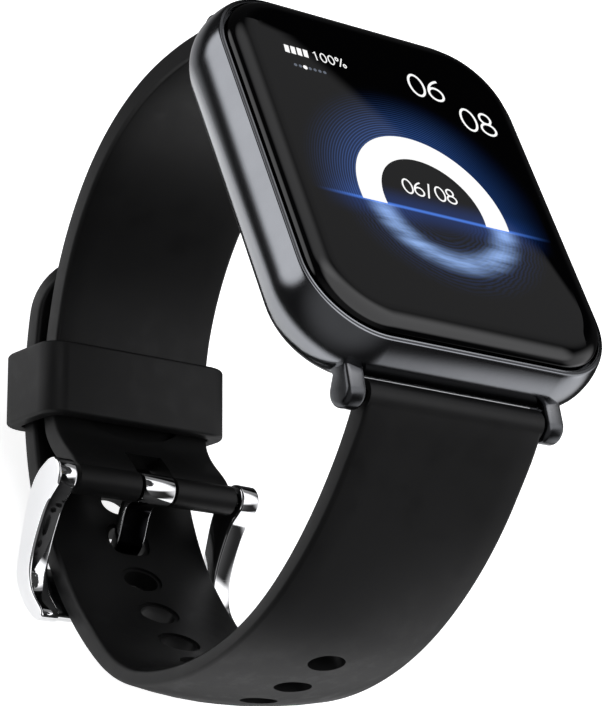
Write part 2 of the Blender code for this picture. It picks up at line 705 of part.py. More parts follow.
def make_buckle():
    """The hoop, whose two arms are mirrored, with its far bar, its tongue and the bar that carries them."""
    arm = []
    for i in range(7):
        angle = math.radians(180 * i / 6)
        arm.append((PIVOT_Y + 1.8 * math.cos(angle), PIVOT_Z + 1.8 * math.sin(angle)))
    arm += [(-3.0, -48.6), (-3.9, -50.3), (-5.6, -52.6), (-7.4, -54.2), (-9.6, -54.8), (-12.5, -54.1)]
    arm += [(-13.1, -54.7), (-12.4, -55.7), (-9.7, -56.8), (-6.9, -56.9), (-5.3, -56.0), (-2.7, -53.8)]
    arm += [(-0.2, -51.2), (0.8, -49.2)]
    hoop = slab("buckle_frame", arm, ARM_INNER_X, ARM_OUTER_X, 0.25)
    mirror(hoop, "X")
    far_bar = [(-6.2, -55.6), (-9.4, -55.15), (-12.4, -54.2), (-13.0, -54.5), (-12.5, -55.35)]
    far_bar += [(-9.8, -56.45), (-6.9, -56.8), (-5.9, -56.35)]
    join(hoop, slab("buckle_far_bar", far_bar, -11.2, 11.2))
    sockets = cylinder("bar_sockets", 0.8, 9.5, 11.6, (PIVOT_Y, PIVOT_Z), "X", 14)
    cut(hoop, mirror(sockets, "X"))
    hold(finish(hoop, "polished chrome"), BUCKLE_AXIS)
    ring = [(1.55, 1.85), (1.55, -1.85), (0.8, -1.85), (0.8, 1.85)]
    tongue = turned("buckle_tongue", ring, (PIVOT_Y, PIVOT_Z), "X", 18, hollow=True)
    shank = [(-1.5, -48.3), (-1.4, -50.2), (-3.7, -52.9), (-4.4, -55.4), (-5.3, -56.8), (-6.9, -57.3)]
    shank += [(-9.7, -57.0), (-12.5, -55.9), (-13.5, -55.1), (-14.2, -55.6), (-13.0, -56.9), (-9.9, -58.1)]
    shank += [(-6.8, -58.4), (-4.7, -57.7), (-3.5, -55.9), (-2.7, -53.5), (-0.3, -50.7), (-0.3, -48.3)]
    join(tongue, slab("tongue_shank", shank, -1.6, 1.6, 0.15))
    cut(tongue, cylinder("tongue_bore", 0.8, -4.0, 4.0, (PIVOT_Y, PIVOT_Z), "X", 18))
    hold(finish(tongue, "polished chrome"), BUCKLE_AXIS)
    bar = [(0.45, 11.3), (0.65, 11.1), (0.65, -11.1), (0.45, -11.3)]
    hold(finish(turned("buckle_bar", bar, (PIVOT_Y, PIVOT_Z), "X", 12), "steel"), BUCKLE_AXIS)


clear_scene()
PARTS = add_collection("smartwatch")
HELPERS = add_collection("smartwatch cutters")
children = bpy.context.view_layer.layer_collection.children
bpy.context.view_layer.active_layer_collection = children[PARTS.name]

ROOT = add_empty("rim_centre", level(0.0, 0.0, -GLASS_TOP))
STRAP_SHORT_AXIS = add_empty("strap_short_axis", level(0.0, LUG_Y, LUG_Z), ROOT)
STRAP_LONG_AXIS = add_empty("strap_long_axis", level(0.0, -LUG_Y, LUG_Z), ROOT)
KEEPER_AXIS = add_empty("keeper_axis", level(0.0, KEEPER_ARC_Y - LUG_Y, KEEPER_ARC_Z - LUG_Z), STRAP_SHORT_AXIS)
BUCKLE_AXIS = add_empty("buckle_axis", level(0.0, PIVOT_Y - LUG_Y, PIVOT_Z - LUG_Z), STRAP_SHORT_AXIS)
BUTTON_AXIS = add_empty("button_axis", level(0.0, 0.0, BUTTON_Z), ROOT)

make_case()
make_glass()
make_front()
make_inside()
make_rear_cover()
make_rear_fittings()
make_button()
make_spring_bars()
make_strap_short()
make_strap_long()
make_keeper()
make_buckle()
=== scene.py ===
"""The smartwatch's looks: fine surfaces, materials, dial, floor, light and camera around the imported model.

+Z points out of the screen, +Y to 12 o'clock and +X to 3 o'clock.
Shapes are worked out in millimetres, with heights counted from the case's front rim, and are put in place in
metres by add_mesh.
"""

import json
import math

import bmesh
import bpy
from mathutils import Matrix, Quaternion, Vector


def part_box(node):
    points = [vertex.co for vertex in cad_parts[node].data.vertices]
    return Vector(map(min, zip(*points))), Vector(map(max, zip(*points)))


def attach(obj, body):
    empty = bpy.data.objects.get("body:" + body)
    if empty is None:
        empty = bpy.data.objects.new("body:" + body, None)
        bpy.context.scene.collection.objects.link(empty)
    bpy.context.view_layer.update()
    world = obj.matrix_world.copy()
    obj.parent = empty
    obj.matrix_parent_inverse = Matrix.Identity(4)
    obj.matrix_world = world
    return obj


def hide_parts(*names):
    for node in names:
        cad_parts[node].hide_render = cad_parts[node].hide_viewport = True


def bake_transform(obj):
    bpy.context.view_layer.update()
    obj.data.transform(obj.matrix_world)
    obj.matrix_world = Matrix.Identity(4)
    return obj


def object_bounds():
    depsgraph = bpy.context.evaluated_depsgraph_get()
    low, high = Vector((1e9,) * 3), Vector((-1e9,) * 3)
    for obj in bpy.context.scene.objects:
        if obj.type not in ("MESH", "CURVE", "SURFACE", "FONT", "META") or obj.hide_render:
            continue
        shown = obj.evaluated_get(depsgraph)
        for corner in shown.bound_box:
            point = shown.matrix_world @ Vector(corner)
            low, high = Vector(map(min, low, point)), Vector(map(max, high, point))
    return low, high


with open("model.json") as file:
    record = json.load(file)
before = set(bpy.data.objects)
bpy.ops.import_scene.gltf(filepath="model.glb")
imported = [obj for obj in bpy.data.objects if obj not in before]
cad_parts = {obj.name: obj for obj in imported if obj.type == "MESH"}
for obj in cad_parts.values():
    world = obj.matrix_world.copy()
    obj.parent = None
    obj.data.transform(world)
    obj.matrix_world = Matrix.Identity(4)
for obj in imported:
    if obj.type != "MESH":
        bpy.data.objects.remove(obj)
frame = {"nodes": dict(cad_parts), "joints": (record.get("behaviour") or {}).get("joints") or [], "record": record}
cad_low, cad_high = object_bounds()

MM = 0.001

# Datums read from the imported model.
glass_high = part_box("front_glass")[1]
GLASS_X = glass_high.x / MM
GLASS_Y = glass_high.y / MM
GLASS_RISE = 1.2
JOINTS = {joint["name"]: joint for joint in frame["joints"]}
LUG_Y = JOINTS["strap_short_swing"]["pos_m"][1] / MM
LUG_Z = JOINTS["strap_short_swing"]["pos_m"][2] / MM + GLASS_RISE
PIVOT_Y = JOINTS["buckle_frame_flip"]["pos_m"][1] / MM
PIVOT_Z = JOINTS["buckle_frame_flip"]["pos_m"][2] / MM + GLASS_RISE

# Case: its outline at the widest level, the levels of its side, and the groove round the glass.
CASE_MARGIN = 1.35
CASE_X = GLASS_X + CASE_MARGIN
CASE_Y = GLASS_Y + CASE_MARGIN
CASE_CORNER = 8.3
GLASS_CORNER = CASE_CORNER - CASE_MARGIN
SIDE_TOP = -0.24
WIDEST_Z = -3.0
SPLIT_Z = -6.0
BACK_Z = -8.2
SEAM_GAP = 0.25
UNDERCUT = 5.5
UPPER_LEAN = 0.65
UPPER_CURVE = 2.2
GROOVE_INSET = 1.12
GROOVE_FLOOR = -1.25
DOME_INSET = 2.5

# Lugs: each is a slab from the case's side to a round nose (y, z, radius) over the spring bar.
LUG_INNER = 10.35
LUG_OUTER = 12.4
LUG_ROOT = ((19.4, -3.3), (19.4, -5.8), (20.35, -5.85), (20.9, -6.4))
LUG_NOSE_TOP = (22.0, -5.75, 1.15)
LUG_NOSE_BOTTOM = (22.2, -5.5, 1.55)
LUG_NOSE_ANGLES = (-125, 70)

# Side button: a pill on a stem, centred on this level.
BUTTON_Z = -3.6
BUTTON_HALF_LONG = 2.9
BUTTON_RADIUS = 1.3
BUTTON_IN = 17.45
BUTTON_OUT = 18.8
BUTTON_GAP = 0.25
RECESS_FLOOR = 16.85
STEM_RADIUS = 0.6
STEM_HOLE = 0.8
STEM_END = 14.4

# Rear cover: screws and charging contacts, and the round plinth of the sensor.
SCREW_X = 11.0
SCREW_Y = 14.1
SCREW_TURN = 0.4
CONTACT_X = 2.2
CONTACT_Y = -12.6
WINDOW_RADIUS = 7.5

# Straps: each outer face is a path in the YZ plane, as (start, heading in degrees, arcs), and an arc is
# (length, turn in degrees).
STRAP_HALF = 10.0
SHORT_THICK = 2.4
LONG_THICK = 2.2
STRAP_EDGE = 0.45
BARREL_RADIUS = 1.45
BARREL_HALF = 9.95
BAR_HOLE = 0.95
SHORT_PATH = ((23.7, -5.5), -60.0, ((11.0, -15.0), (18.0, -40.0), (18.5, -33.0), (16.5, -36.0)))
LONG_PATH = ((-23.7, -5.5), -128.0, ((20.0, 30.0), (22.0, 40.0), (9.0, 30.0), (44.5, 67.0), (7.0, 29.0)))

# Where a strap leaves its barrel it is a little thicker, and it starts inside the barrel.
SHORT_LIFT = 0.12
SHORT_OVERLAP = 0.75
LONG_LIFT = 0.24
LONG_OVERLAP = 0.92
LIFT_RUN = 6.0

# The long strap's outer face is crowned along its middle stretch, where its edges thin from inside.
CROWN = 1.0
CROWN_FROM, CROWN_RISE = 6.0, 22.0
CROWN_TO, CROWN_FALL = 44.0, 12.0
EDGE_THIN = 0.8

# Adjustment holes. The tongue's own hole is squarer and sits a little further along.
HOLE_PITCH = 5.25
HOLE_FIRST = 26.75
HOLE_COUNT = 11
HOLE_SIZE = (2.0, 1.35, 1.0)
TONGUE_HOLE = 8
TONGUE_HOLE_SIZE = (2.15, 1.65, 0.5)
TONGUE_HOLE_SHIFT = 0.25
HOLE_RECESS = 0.25
HOLE_RIM = (0.4, 0.3)

# The short strap rises into a sleeve round the buckle's bar, slotted for the tongue.
SLEEVE_RADIUS = 1.55
SLEEVE_HALF = 9.45
SLEEVE_BORE = 0.85
SLEEVE_RISE = 2.3
SLEEVE_FROM, SLEEVE_RUN = 55.0, 7.5
TONGUE_SLOT = ((-4.5, -53.0), (3.4, -53.0), (3.4, -44.5), (-4.5, -44.5))
TONGUE_SLOT_HALF = 2.2

# Keeper: its place along the short strap, its inner room to each side of the strap's outer face, its wall,
# and the oval hollow beside it in the strap's inner face.
KEEPER_AT = 50.4
KEEPER_HEIGHT = 7.6
KEEPER_INWARD = 3.0
KEEPER_OUTWARD = 4.0
KEEPER_HALF = 9.75
KEEPER_WALL = 1.5
KEEPER_SOFT = 0.4
HOLLOW_AHEAD = 2.1
HOLLOW_HALF = (6.6, 3.8)
HOLLOW_DEPTH = 0.7

# Buckle: the frame's side, its far bar and the tongue's shank, as corners of smooth outlines in (y, z).
ARM_INNER = 10.0
ARM_OUTER = 12.2
ARM_ROUND = 0.28
ARM_EYE = 1.8
ARM_OUTLINE = ((-3.0, -48.6), (-3.9, -50.3), (-5.6, -52.6), (-7.4, -54.2), (-9.6, -54.8), (-12.5, -54.1),
               (-13.1, -54.7), (-12.4, -55.7), (-9.7, -56.8), (-6.9, -56.9), (-5.3, -56.0), (-2.7, -53.8),
               (-0.2, -51.2), (0.8, -49.2))
FAR_BAR_OUTLINE = ((-6.2, -55.6), (-9.4, -55.15), (-12.4, -54.2), (-13.0, -54.5), (-12.5, -55.35),
                   (-9.8, -56.45), (-6.9, -56.8), (-5.9, -56.35))
FAR_BAR_HALF = 11.2
TONGUE_RING = 1.55
TONGUE_RING_HALF = 1.85
TONGUE_HALF = 1.6
TONGUE_BORE = 0.8
SHANK_OUTLINE = ((-1.5, -48.3), (-1.4, -50.2), (-3.7, -52.9), (-4.4, -55.4), (-5.3, -56.8), (-6.9, -57.3),
                 (-9.7, -57.0), (-12.5, -55.9), (-13.5, -55.1), (-14.2, -55.6), (-13.0, -56.9), (-9.9, -58.1),
                 (-6.8, -58.4), (-4.7, -57.7), (-3.5, -55.9), (-2.7, -53.5), (-0.3, -50.7), (-0.3, -48.3))

# The screen's picture, on the glass's flat face.
SCREEN_X = 14.3
SCREEN_Y = 17.2
RING_X = 0.3
RING_Y = -4.05
RING_OUTER = 8.6
RING_INNER = 5.85
HORIZON_Y = -4.87
RIPPLE_PITCH = 0.27
WATER_PITCH = 0.4
PIXEL_PITCH = 0.08
STROKE_LIFT = 0.02

# Studio: soft round lights far away, as (towards, radius and softness of its edge in degrees, radiance).
STUDIO_LIGHTS = (
    ((0.16, -0.16, 0.97), 38.0, 7.0, 1.5),
    ((0.0, 0.6, 0.8), 12.0, 11.0, 0.8),
    ((-0.8, 0.56, 0.0), 25.0, 6.0, 1.5),
    ((0.15, 0.48, -0.86), 30.0, 16.0, 0.45),
    ((0.85, -0.42, -0.33), 18.0, 12.0, 1.15),
    ((-0.45, -0.75, 0.3), 44.0, 24.0, 0.16),
    ((0.9, -0.2, 0.3), 22.0, 10.0, 0.9),
)
AMBIENT = 0.022

# Camera: its place in metres, its roll in degrees and its lens in millimetres.
CAMERA_AT = (-0.15124, -0.15155, 0.12901)
CAMERA_FORWARD = (0.58222, 0.56873, -0.58100)
CAMERA_ROLL = -41.603
CAMERA_LENS = 139.04


# ---------------- mesh helpers


def add_mesh(name, points, faces, smooth_angle=35.0):
    """A shaded object from points in millimetres, with its faces turned outwards."""
    mesh = bpy.data.meshes.new(name)
    bm = bmesh.new()
    verts = [bm.verts.new((x * MM, y * MM, (z - GLASS_RISE) * MM)) for x, y, z in points]
    for face in faces:
        bm.faces.new([verts[i] for i in face])
    bmesh.ops.recalc_face_normals(bm, faces=bm.faces)
    bm.to_mesh(mesh)
    bm.free()
    mesh.shade_smooth()
    mesh.set_sharp_from_angle(angle=math.radians(smooth_angle))
    obj = bpy.data.objects.new(name, mesh)
    bpy.context.scene.collection.objects.link(obj)
    return obj


def loft(name, rings, ring_loop=False, smooth_angle=35.0):
    """Skin over rings with the same number of points. The ends are capped, or joined in a loop."""
    count = len(rings[0])
    points = [p for ring in rings for p in ring]
    faces = []
    for i in range(len(rings) if ring_loop else len(rings) - 1):
        a = i * count
        b = ((i + 1) % len(rings)) * count
        for j in range(count):
            k = (j + 1) % count
            faces.append((a + j, a + k, b + k, b + j))
    if not ring_loop:
        faces.append(tuple(range(count)))
        faces.append(tuple((len(rings) - 1) * count + j for j in range(count)))
    return add_mesh(name, points, faces, smooth_angle)


def arc(cx, cy, rx, ry, start, end, steps=28):
    """Points along part of an ellipse, from one angle to another in degrees."""
    path = []
    for i in range(steps + 1):
        angle = math.radians(start + (end - start) * i / steps)
        path.append((cx + rx * math.cos(angle), cy + ry * math.sin(angle)))
    return path


def rounded_rectangle(half_x, half_y, radius, steps=17):
    outline = []
    for turn, (sx, sy) in enumerate(((1, 1), (-1, 1), (-1, -1), (1, -1))):
        x, y = sx * (half_x - radius), sy * (half_y - radius)
        outline += arc(x, y, radius, radius, 90 * turn, 90 * turn + 90, steps)
    return outline


def case_ring(inset, z):
    """The case outline moved inwards, at one level."""
    radius = max(CASE_CORNER - inset, 1.0)
    outline = rounded_rectangle(CASE_X - inset, CASE_Y - inset, radius)
    return [(x, y, z) for x, y in outline]


def outer_inset(z):
    """How far the case's side lies inside its widest outline at a level."""
    if z < WIDEST_Z:
        rise = (WIDEST_Z - z) / (WIDEST_Z - BACK_Z)
        return UNDERCUT - UNDERCUT * math.sqrt(max(0.0, 1.0 - rise * rise))
    return UPPER_LEAN * ((z - WIDEST_Z) / -WIDEST_Z) ** UPPER_CURVE


def spread(low, high, count):
    return [low + (high - low) * i / (count - 1) for i in range(count)]


def disc(cx, cy, radius, count=48):
    step = 2 * math.pi / count
    return [(cx + radius * math.cos(i * step), cy + radius * math.sin(i * step)) for i in range(count)]


def turned_z(name, cx, cy, profile, count=48, hollow=False):
    """A solid of revolution about a line along Z, from (radius, z) pairs."""
    rings = [[(x, y, z) for x, y in disc(cx, cy, r, count)] for r, z in profile]
    return loft(name, rings, ring_loop=hollow)


def turned_x(name, cy, cz, profile, count=48, hollow=False):
    """A solid of revolution about a line along X, from (radius, x) pairs."""
    rings = [[(x, y, z) for y, z in disc(cy, cz, r, count)] for r, x in profile]
    return loft(name, rings, ring_loop=hollow)


def tube_x(name, cy, cz, radius, x_low, x_high, count=40):
    return turned_x(name, cy, cz, [(radius, x_low), (radius, x_high)], count)


def inset_outline(outline, amount):
    """Each corner of the outline moved inwards along its normal."""
    area = 0.0
    for (ax, ay), (bx, by) in zip(outline, outline[1:] + outline[:1]):
        area += ax * by - bx * ay
    side = 1.0 if area > 0 else -1.0
    moved = []
    for i, (x, y) in enumerate(outline):
        px, py = outline[i - 1]
        nx, ny = outline[(i + 1) % len(outline)]
        dx, dy = nx - px, ny - py
        size = math.hypot(dx, dy)
        moved.append((x - side * dy / size * amount, y + side * dx / size * amount))
    return moved


def smooth_loop(corners, steps=8):
    """A closed Catmull-Rom curve through the corners."""
    curve = []
    count = len(corners)
    for i in range(count):
        a, b, c, d = (corners[(i + k) % count] for k in (-1, 0, 1, 2))
        for j in range(steps):
            t = j / steps
            point = []
            for k in range(2):
                bend = (2 * b[k] + (c[k] - a[k]) * t + (2 * a[k] - 5 * b[k] + 4 * c[k] - d[k]) * t * t
                        + (3 * b[k] - a[k] - 3 * c[k] + d[k]) * t ** 3)
                point.append(bend / 2)
            curve.append(tuple(point))
    return curve


def slab_x(name, outline, x_low, x_high, round_edge=0.0, steps=4):
    """An outline of (y, z) pairs extruded along X, with its rims rounded on request."""
    layers = [(0.0, x_low), (0.0, x_high)]
    if round_edge:
        layers = arc(round_edge, x_low + round_edge, -round_edge, -round_edge, 90, 0, steps)
        layers += [(inset, x_low + x_high - x) for inset, x in reversed(layers)]
    rings = []
    for inset, x in layers:
        shape = inset_outline(outline, inset) if inset else outline
        rings.append([(x, y, z) for y, z in shape])
    return loft(name, rings)


def combine(target, others, operation):
    """Boolean operation, applied at once. The other objects are removed."""
    for other in others:
        modifier = target.modifiers.new("combine", "BOOLEAN")
        modifier.operation = operation
        modifier.solver = "EXACT"
        modifier.object = other
        graph = bpy.context.evaluated_depsgraph_get()
        made = bpy.data.meshes.new_from_object(target.evaluated_get(graph))
        target.modifiers.clear()
        target.data = made
        bpy.data.objects.remove(other, do_unlink=True)
    target.data.name = target.name
    target.data.shade_smooth()
    target.data.set_sharp_from_angle(angle=math.radians(35.0))
    return target


def unite(target, *others):
    return combine(target, others, "UNION")


def cut(target, *others):
    return combine(target, others, "DIFFERENCE")


def soften_edges(obj, width, angle=40.0, segments=3):
    """Rounds the edges sharper than the angle, as a mould or a polish leaves them."""
    bevel = obj.modifiers.new("soft edges", "BEVEL")
    bevel.width = width * MM
    bevel.segments = segments
    bevel.limit_method = "ANGLE"
    bevel.angle_limit = math.radians(angle)
    bevel.harden_normals = True
    return obj


def path_length(path):
    return sum(length for length, _ in path[2])


def path_place(path, distance):
    """Where a strap's path is after a distance: its (y, z) point and its heading in radians."""
    (y, z), heading, arcs = path
    angle = math.radians(heading)
    left = distance
    for number, (length, turn) in enumerate(arcs):
        step = left if number == len(arcs) - 1 else min(left, length)
        bend = math.radians(turn) * step / length
        chord = step * math.sin(bend / 2) / (bend / 2) if abs(bend) > 1e-9 else step
        y += chord * math.cos(angle + bend / 2)
        z += chord * math.sin(angle + bend / 2)
        angle += bend
        left -= step
        if left <= 1e-9:
            break
    return (y, z), angle


def beside(place, inward, along, depth):
    """The (y, z) point so far along from a place on a path and so deep towards the wrist.

    Inward is 1 where the wrist lies to the left of the path's heading, and -1 where it lies to the right.
    """
    (y, z), angle = place
    ty, tz = math.cos(angle), math.sin(angle)
    return y + ty * along - tz * inward * depth, z + tz * along + ty * inward * depth


def clamp(value):
    return max(0.0, min(1.0, value))


def ease(value):
    """A smooth step from 0 to 1."""
    value = clamp(value)
    return value * value * (3 - 2 * value)


def strap_section(place, inward, half, thick, rise=0.0, crown=0.0, across=8, corner=5):
    """A rounded section. Its outer face bulges from the path by the crown, and its edges thin from inside."""
    edge = min(STRAP_EDGE, thick / 2 - 0.02, half - 0.05)
    flat = []
    corners = ((1, thick - edge), (-1, thick - edge), (-1, edge), (1, edge))
    for turn, (side, depth) in enumerate(corners):
        flat += arc(side * (half - edge), depth, edge, edge, 90 * turn, 90 * turn + 90, corner)
        if turn in (0, 2):
            depth = thick if turn == 0 else 0.0
            for i in range(1, across):
                flat.append((side * (half - edge) * (1 - 2 * i / across), depth))
    ring = []
    for x, depth in flat:
        bow = (x / half) ** 2
        inner = depth / thick
        depth += rise - crown * ((1 - bow) * (1 - inner) + EDGE_THIN * bow * bow * inner)
        ring.append((x, *beside(place, inward, 0.0, depth)))
    return ring


def short_half_width(s):
    return STRAP_HALF - 0.6 * clamp((s - 8.0) / 35.0)


def long_half_width(s):
    total = path_length(LONG_PATH)
    half = STRAP_HALF - 0.7 * clamp((s - 45.0) / 20.0)
    tip = clamp((s - (total - 8.0)) / 8.0)
    return half * math.sqrt(1.0 - 0.9 * tip * tip)


# ---------------- materials


class Nodes:
    """Adds nodes to one node tree. An input can be a number, a colour or another node's output."""

    def __init__(self, tree):
        self.tree = tree

    def add(self, kind, inputs=None, **settings):
        made = self.tree.nodes.new(kind)
        for key, value in settings.items():
            setattr(made, key, value)
        for key, value in (inputs or {}).items():
            if isinstance(value, bpy.types.NodeSocket):
                self.tree.links.new(value, made.inputs[key])
            else:
                made.inputs[key].default_value = value
        return made

    def math(self, operation, a, b=0.0, c=0.0):
        return self.add("ShaderNodeMath", {0: a, 1: b, 2: c}, operation=operation).outputs[0]

    def blend(self, value, low, high, out_low=0.0, out_high=1.0):
        """Smooth step of a value from one level to another."""
        inputs = {"Value": value, "From Min": low, "From Max": high, "To Min": out_low, "To Max": out_high}
        return self.add("ShaderNodeMapRange", inputs, interpolation_type="SMOOTHSTEP").outputs[0]

    def times(self, *factors):
        product = factors[0]
        for factor in factors[1:]:
            product = self.math("MULTIPLY", product, factor)
        return product

    def hypot(self, a, b):
        return self.math("SQRT", self.math("ADD", self.times(a, a), self.times(b, b)))

    def mix(self, factor, a, b):
        """Two colours mixed. The node's sockets 0, 6, 7 and 2 are its factor, its colours and its result."""
        return self.add("ShaderNodeMix", {0: factor, 6: a, 7: b}, data_type="RGBA").outputs[2]

    def place(self):
        """Where the shaded point is, in metres, in the object's own frame."""
        return self.add("ShaderNodeTexCoord").outputs["Object"]

    def place_xyz(self):
        return self.add("ShaderNodeSeparateXYZ", {0: self.place()}).outputs

    def noise(self, scale, detail=3.0, roughness=0.55, vector=None):
        inputs = {"Vector": vector or self.place(), "Scale": scale, "Detail": detail, "Roughness": roughness}
        return self.add("ShaderNodeTexNoise", inputs).outputs["Fac"]

    def bump(self, height, strength, distance, normal=None):
        inputs = {"Height": height, "Strength": strength, "Distance": distance}
        if normal:
            inputs["Normal"] = normal
        return self.add("ShaderNodeBump", inputs).outputs["Normal"]


def grey(value, tint=0.0):
    return (value, value, value * (1 + tint), 1.0)


def new_material(name):
    material = bpy.data.materials.new(name)
    material.use_nodes = True
    nodes = Nodes(material.node_tree)
    shader = material.node_tree.nodes["Principled BSDF"]
    return material, nodes, shader


def connect(nodes, shader, **inputs):
    """Sets the shader's inputs, named with underscores for spaces."""
    for key, value in inputs.items():
        socket = shader.inputs[key.replace("_", " ")]
        if isinstance(value, bpy.types.NodeSocket):
            nodes.tree.links.new(value, socket)
        else:
            socket.default_value = value


def silicone(name, level, roughness=0.42):
    """Moulded black silicone: a fine matt grain, faint cloudiness and a few rubbed, shinier patches."""
    material, nodes, shader = new_material(name)
    cloud = nodes.noise(160.0, 4.0)
    grain = nodes.noise(9000.0, 2.0)
    rub = nodes.blend(nodes.noise(420.0, 5.0, 0.65), 0.45, 0.7)
    colour = nodes.mix(cloud, grey(level * 0.75), grey(level * 1.25, 0.04))
    rough = nodes.math("MULTIPLY_ADD", rub, -0.07, roughness)
    rough = nodes.math("MULTIPLY_ADD", grain, 0.06, rough)
    facing = nodes.add("ShaderNodeLayerWeight", {"Blend": 0.5}).outputs["Facing"]
    gloss = nodes.blend(facing, 0.4, 0.85, 0.34, 0.02)
    connect(nodes, shader, Base_Color=colour, Roughness=rough, IOR=1.4, Specular_IOR_Level=gloss)
    connect(nodes, shader, Sheen_Weight=0.02, Sheen_Roughness=0.4)
    connect(nodes, shader, Normal=nodes.bump(grain, 0.35, 0.00001))
    return material


def metal(name, low, high, roughness, grain_scale=7000.0, grain_depth=0.000004, tint=0.08, wear=0.25):
    """Metal with a blasted or polished grain, slow colour drift, hairline scratches and rubbed edges."""
    material, nodes, shader = new_material(name)
    drift = nodes.noise(240.0, 3.0)
    grain = nodes.noise(grain_scale, 2.0)
    stretched = nodes.add("ShaderNodeMapping", {"Vector": nodes.place(), "Scale": (220.0, 5200.0, 2600.0)})
    scratches = nodes.blend(nodes.noise(1.0, 2.0, 0.5, stretched.outputs[0]), 0.68, 0.74)
    edges = nodes.add("ShaderNodeNewGeometry").outputs["Pointiness"]
    rubbed = nodes.times(nodes.blend(edges, 0.53, 0.6), wear)
    colour = nodes.mix(drift, (low * (1 - tint / 2), low, low * (1 + tint), 1),
                       (high * (1 - tint / 2), high, high * (1 + tint), 1))
    colour = nodes.mix(rubbed, colour, (0.75, 0.75, 0.77, 1))
    rough = nodes.math("MULTIPLY_ADD", grain, roughness * 0.35, roughness * 0.8)
    rough = nodes.math("MULTIPLY_ADD", scratches, 0.08, rough)
    normal = nodes.bump(grain, 0.5, grain_depth)
    normal = nodes.bump(scratches, 0.06, 0.000004, normal)
    connect(nodes, shader, Base_Color=colour, Metallic=1.0, Roughness=rough, Normal=normal)
    return material


def tongue_metal_painted_reflection(name):
    """Polished metal with a painted reflection: its flat face inside the strap's loop is coloured near black
    between bright edges.
    """
    material = metal(name, 0.82, 0.88, 0.05, grain_depth=0.000001, tint=0.01, wear=0.1)
    nodes = Nodes(material.node_tree)
    shader = material.node_tree.nodes["Principled BSDF"]
    place = nodes.place_xyz()
    across = nodes.math("SUBTRACT", place["Y"], PIVOT_Y * MM)
    up = nodes.math("SUBTRACT", place["Z"], (PIVOT_Z - GLASS_RISE) * MM)
    beyond_ring = nodes.blend(nodes.hypot(across, up), 1.6 * MM, 1.75 * MM)
    above_tip = nodes.blend(up, -7.4 * MM, -6.2 * MM)
    facing = nodes.add("ShaderNodeSeparateXYZ", {0: nodes.add("ShaderNodeNewGeometry").outputs["Normal"]})
    flat = nodes.blend(nodes.math("ABSOLUTE", facing.outputs["X"]), 0.35, 0.15)
    polished = shader.inputs["Base Color"].links[0].from_socket
    # Painted reflection: past the ring and above the tip, the flat face is coloured near black for the dark strap
    # that the chrome mirrors there.
    colour = nodes.mix(nodes.times(flat, beyond_ring, above_tip), polished, (0.015, 0.015, 0.017, 1))
    connect(nodes, shader, Base_Color=colour)
    return material


def plastic(name, colour_a, colour_b, roughness, grain_scale=5000.0, depth=0.00001, coat=0.0):
    """Moulded plastic, rubber, board or film: two close colours, a grain and an uneven gloss."""
    material, nodes, shader = new_material(name)
    drift = nodes.noise(300.0, 4.0)
    grain = nodes.noise(grain_scale, 2.0)
    colour = nodes.mix(drift, (*colour_a, 1), (*colour_b, 1))
    rough = nodes.math("MULTIPLY_ADD", grain, roughness * 0.3, roughness * 0.85)
    connect(nodes, shader, Base_Color=colour, Roughness=rough, Coat_Weight=coat, Coat_Roughness=0.08)
    connect(nodes, shader, Normal=nodes.bump(grain, 0.4, depth))
    return material


def glowing(name, colour, strength):
    """A lit part of the screen's picture, with the fine dot grid of its pixels."""
    material, nodes, shader = new_material(name)
    place = nodes.place_xyz()
    turns = 2 * math.pi / (PIXEL_PITCH * MM)
    columns = nodes.math("SINE", nodes.times(place["X"], turns))
    rows = nodes.math("SINE", nodes.times(place["Y"], turns))
    grid = nodes.times(columns, rows)
    level = nodes.math("MULTIPLY_ADD", grid, 0.06 * strength, strength)
    connect(nodes, shader, Base_Color=(0.01, 0.01, 0.012, 1), Roughness=0.06)
    connect(nodes, shader, Emission_Color=(*colour, 1), Emission_Strength=level)
    return material


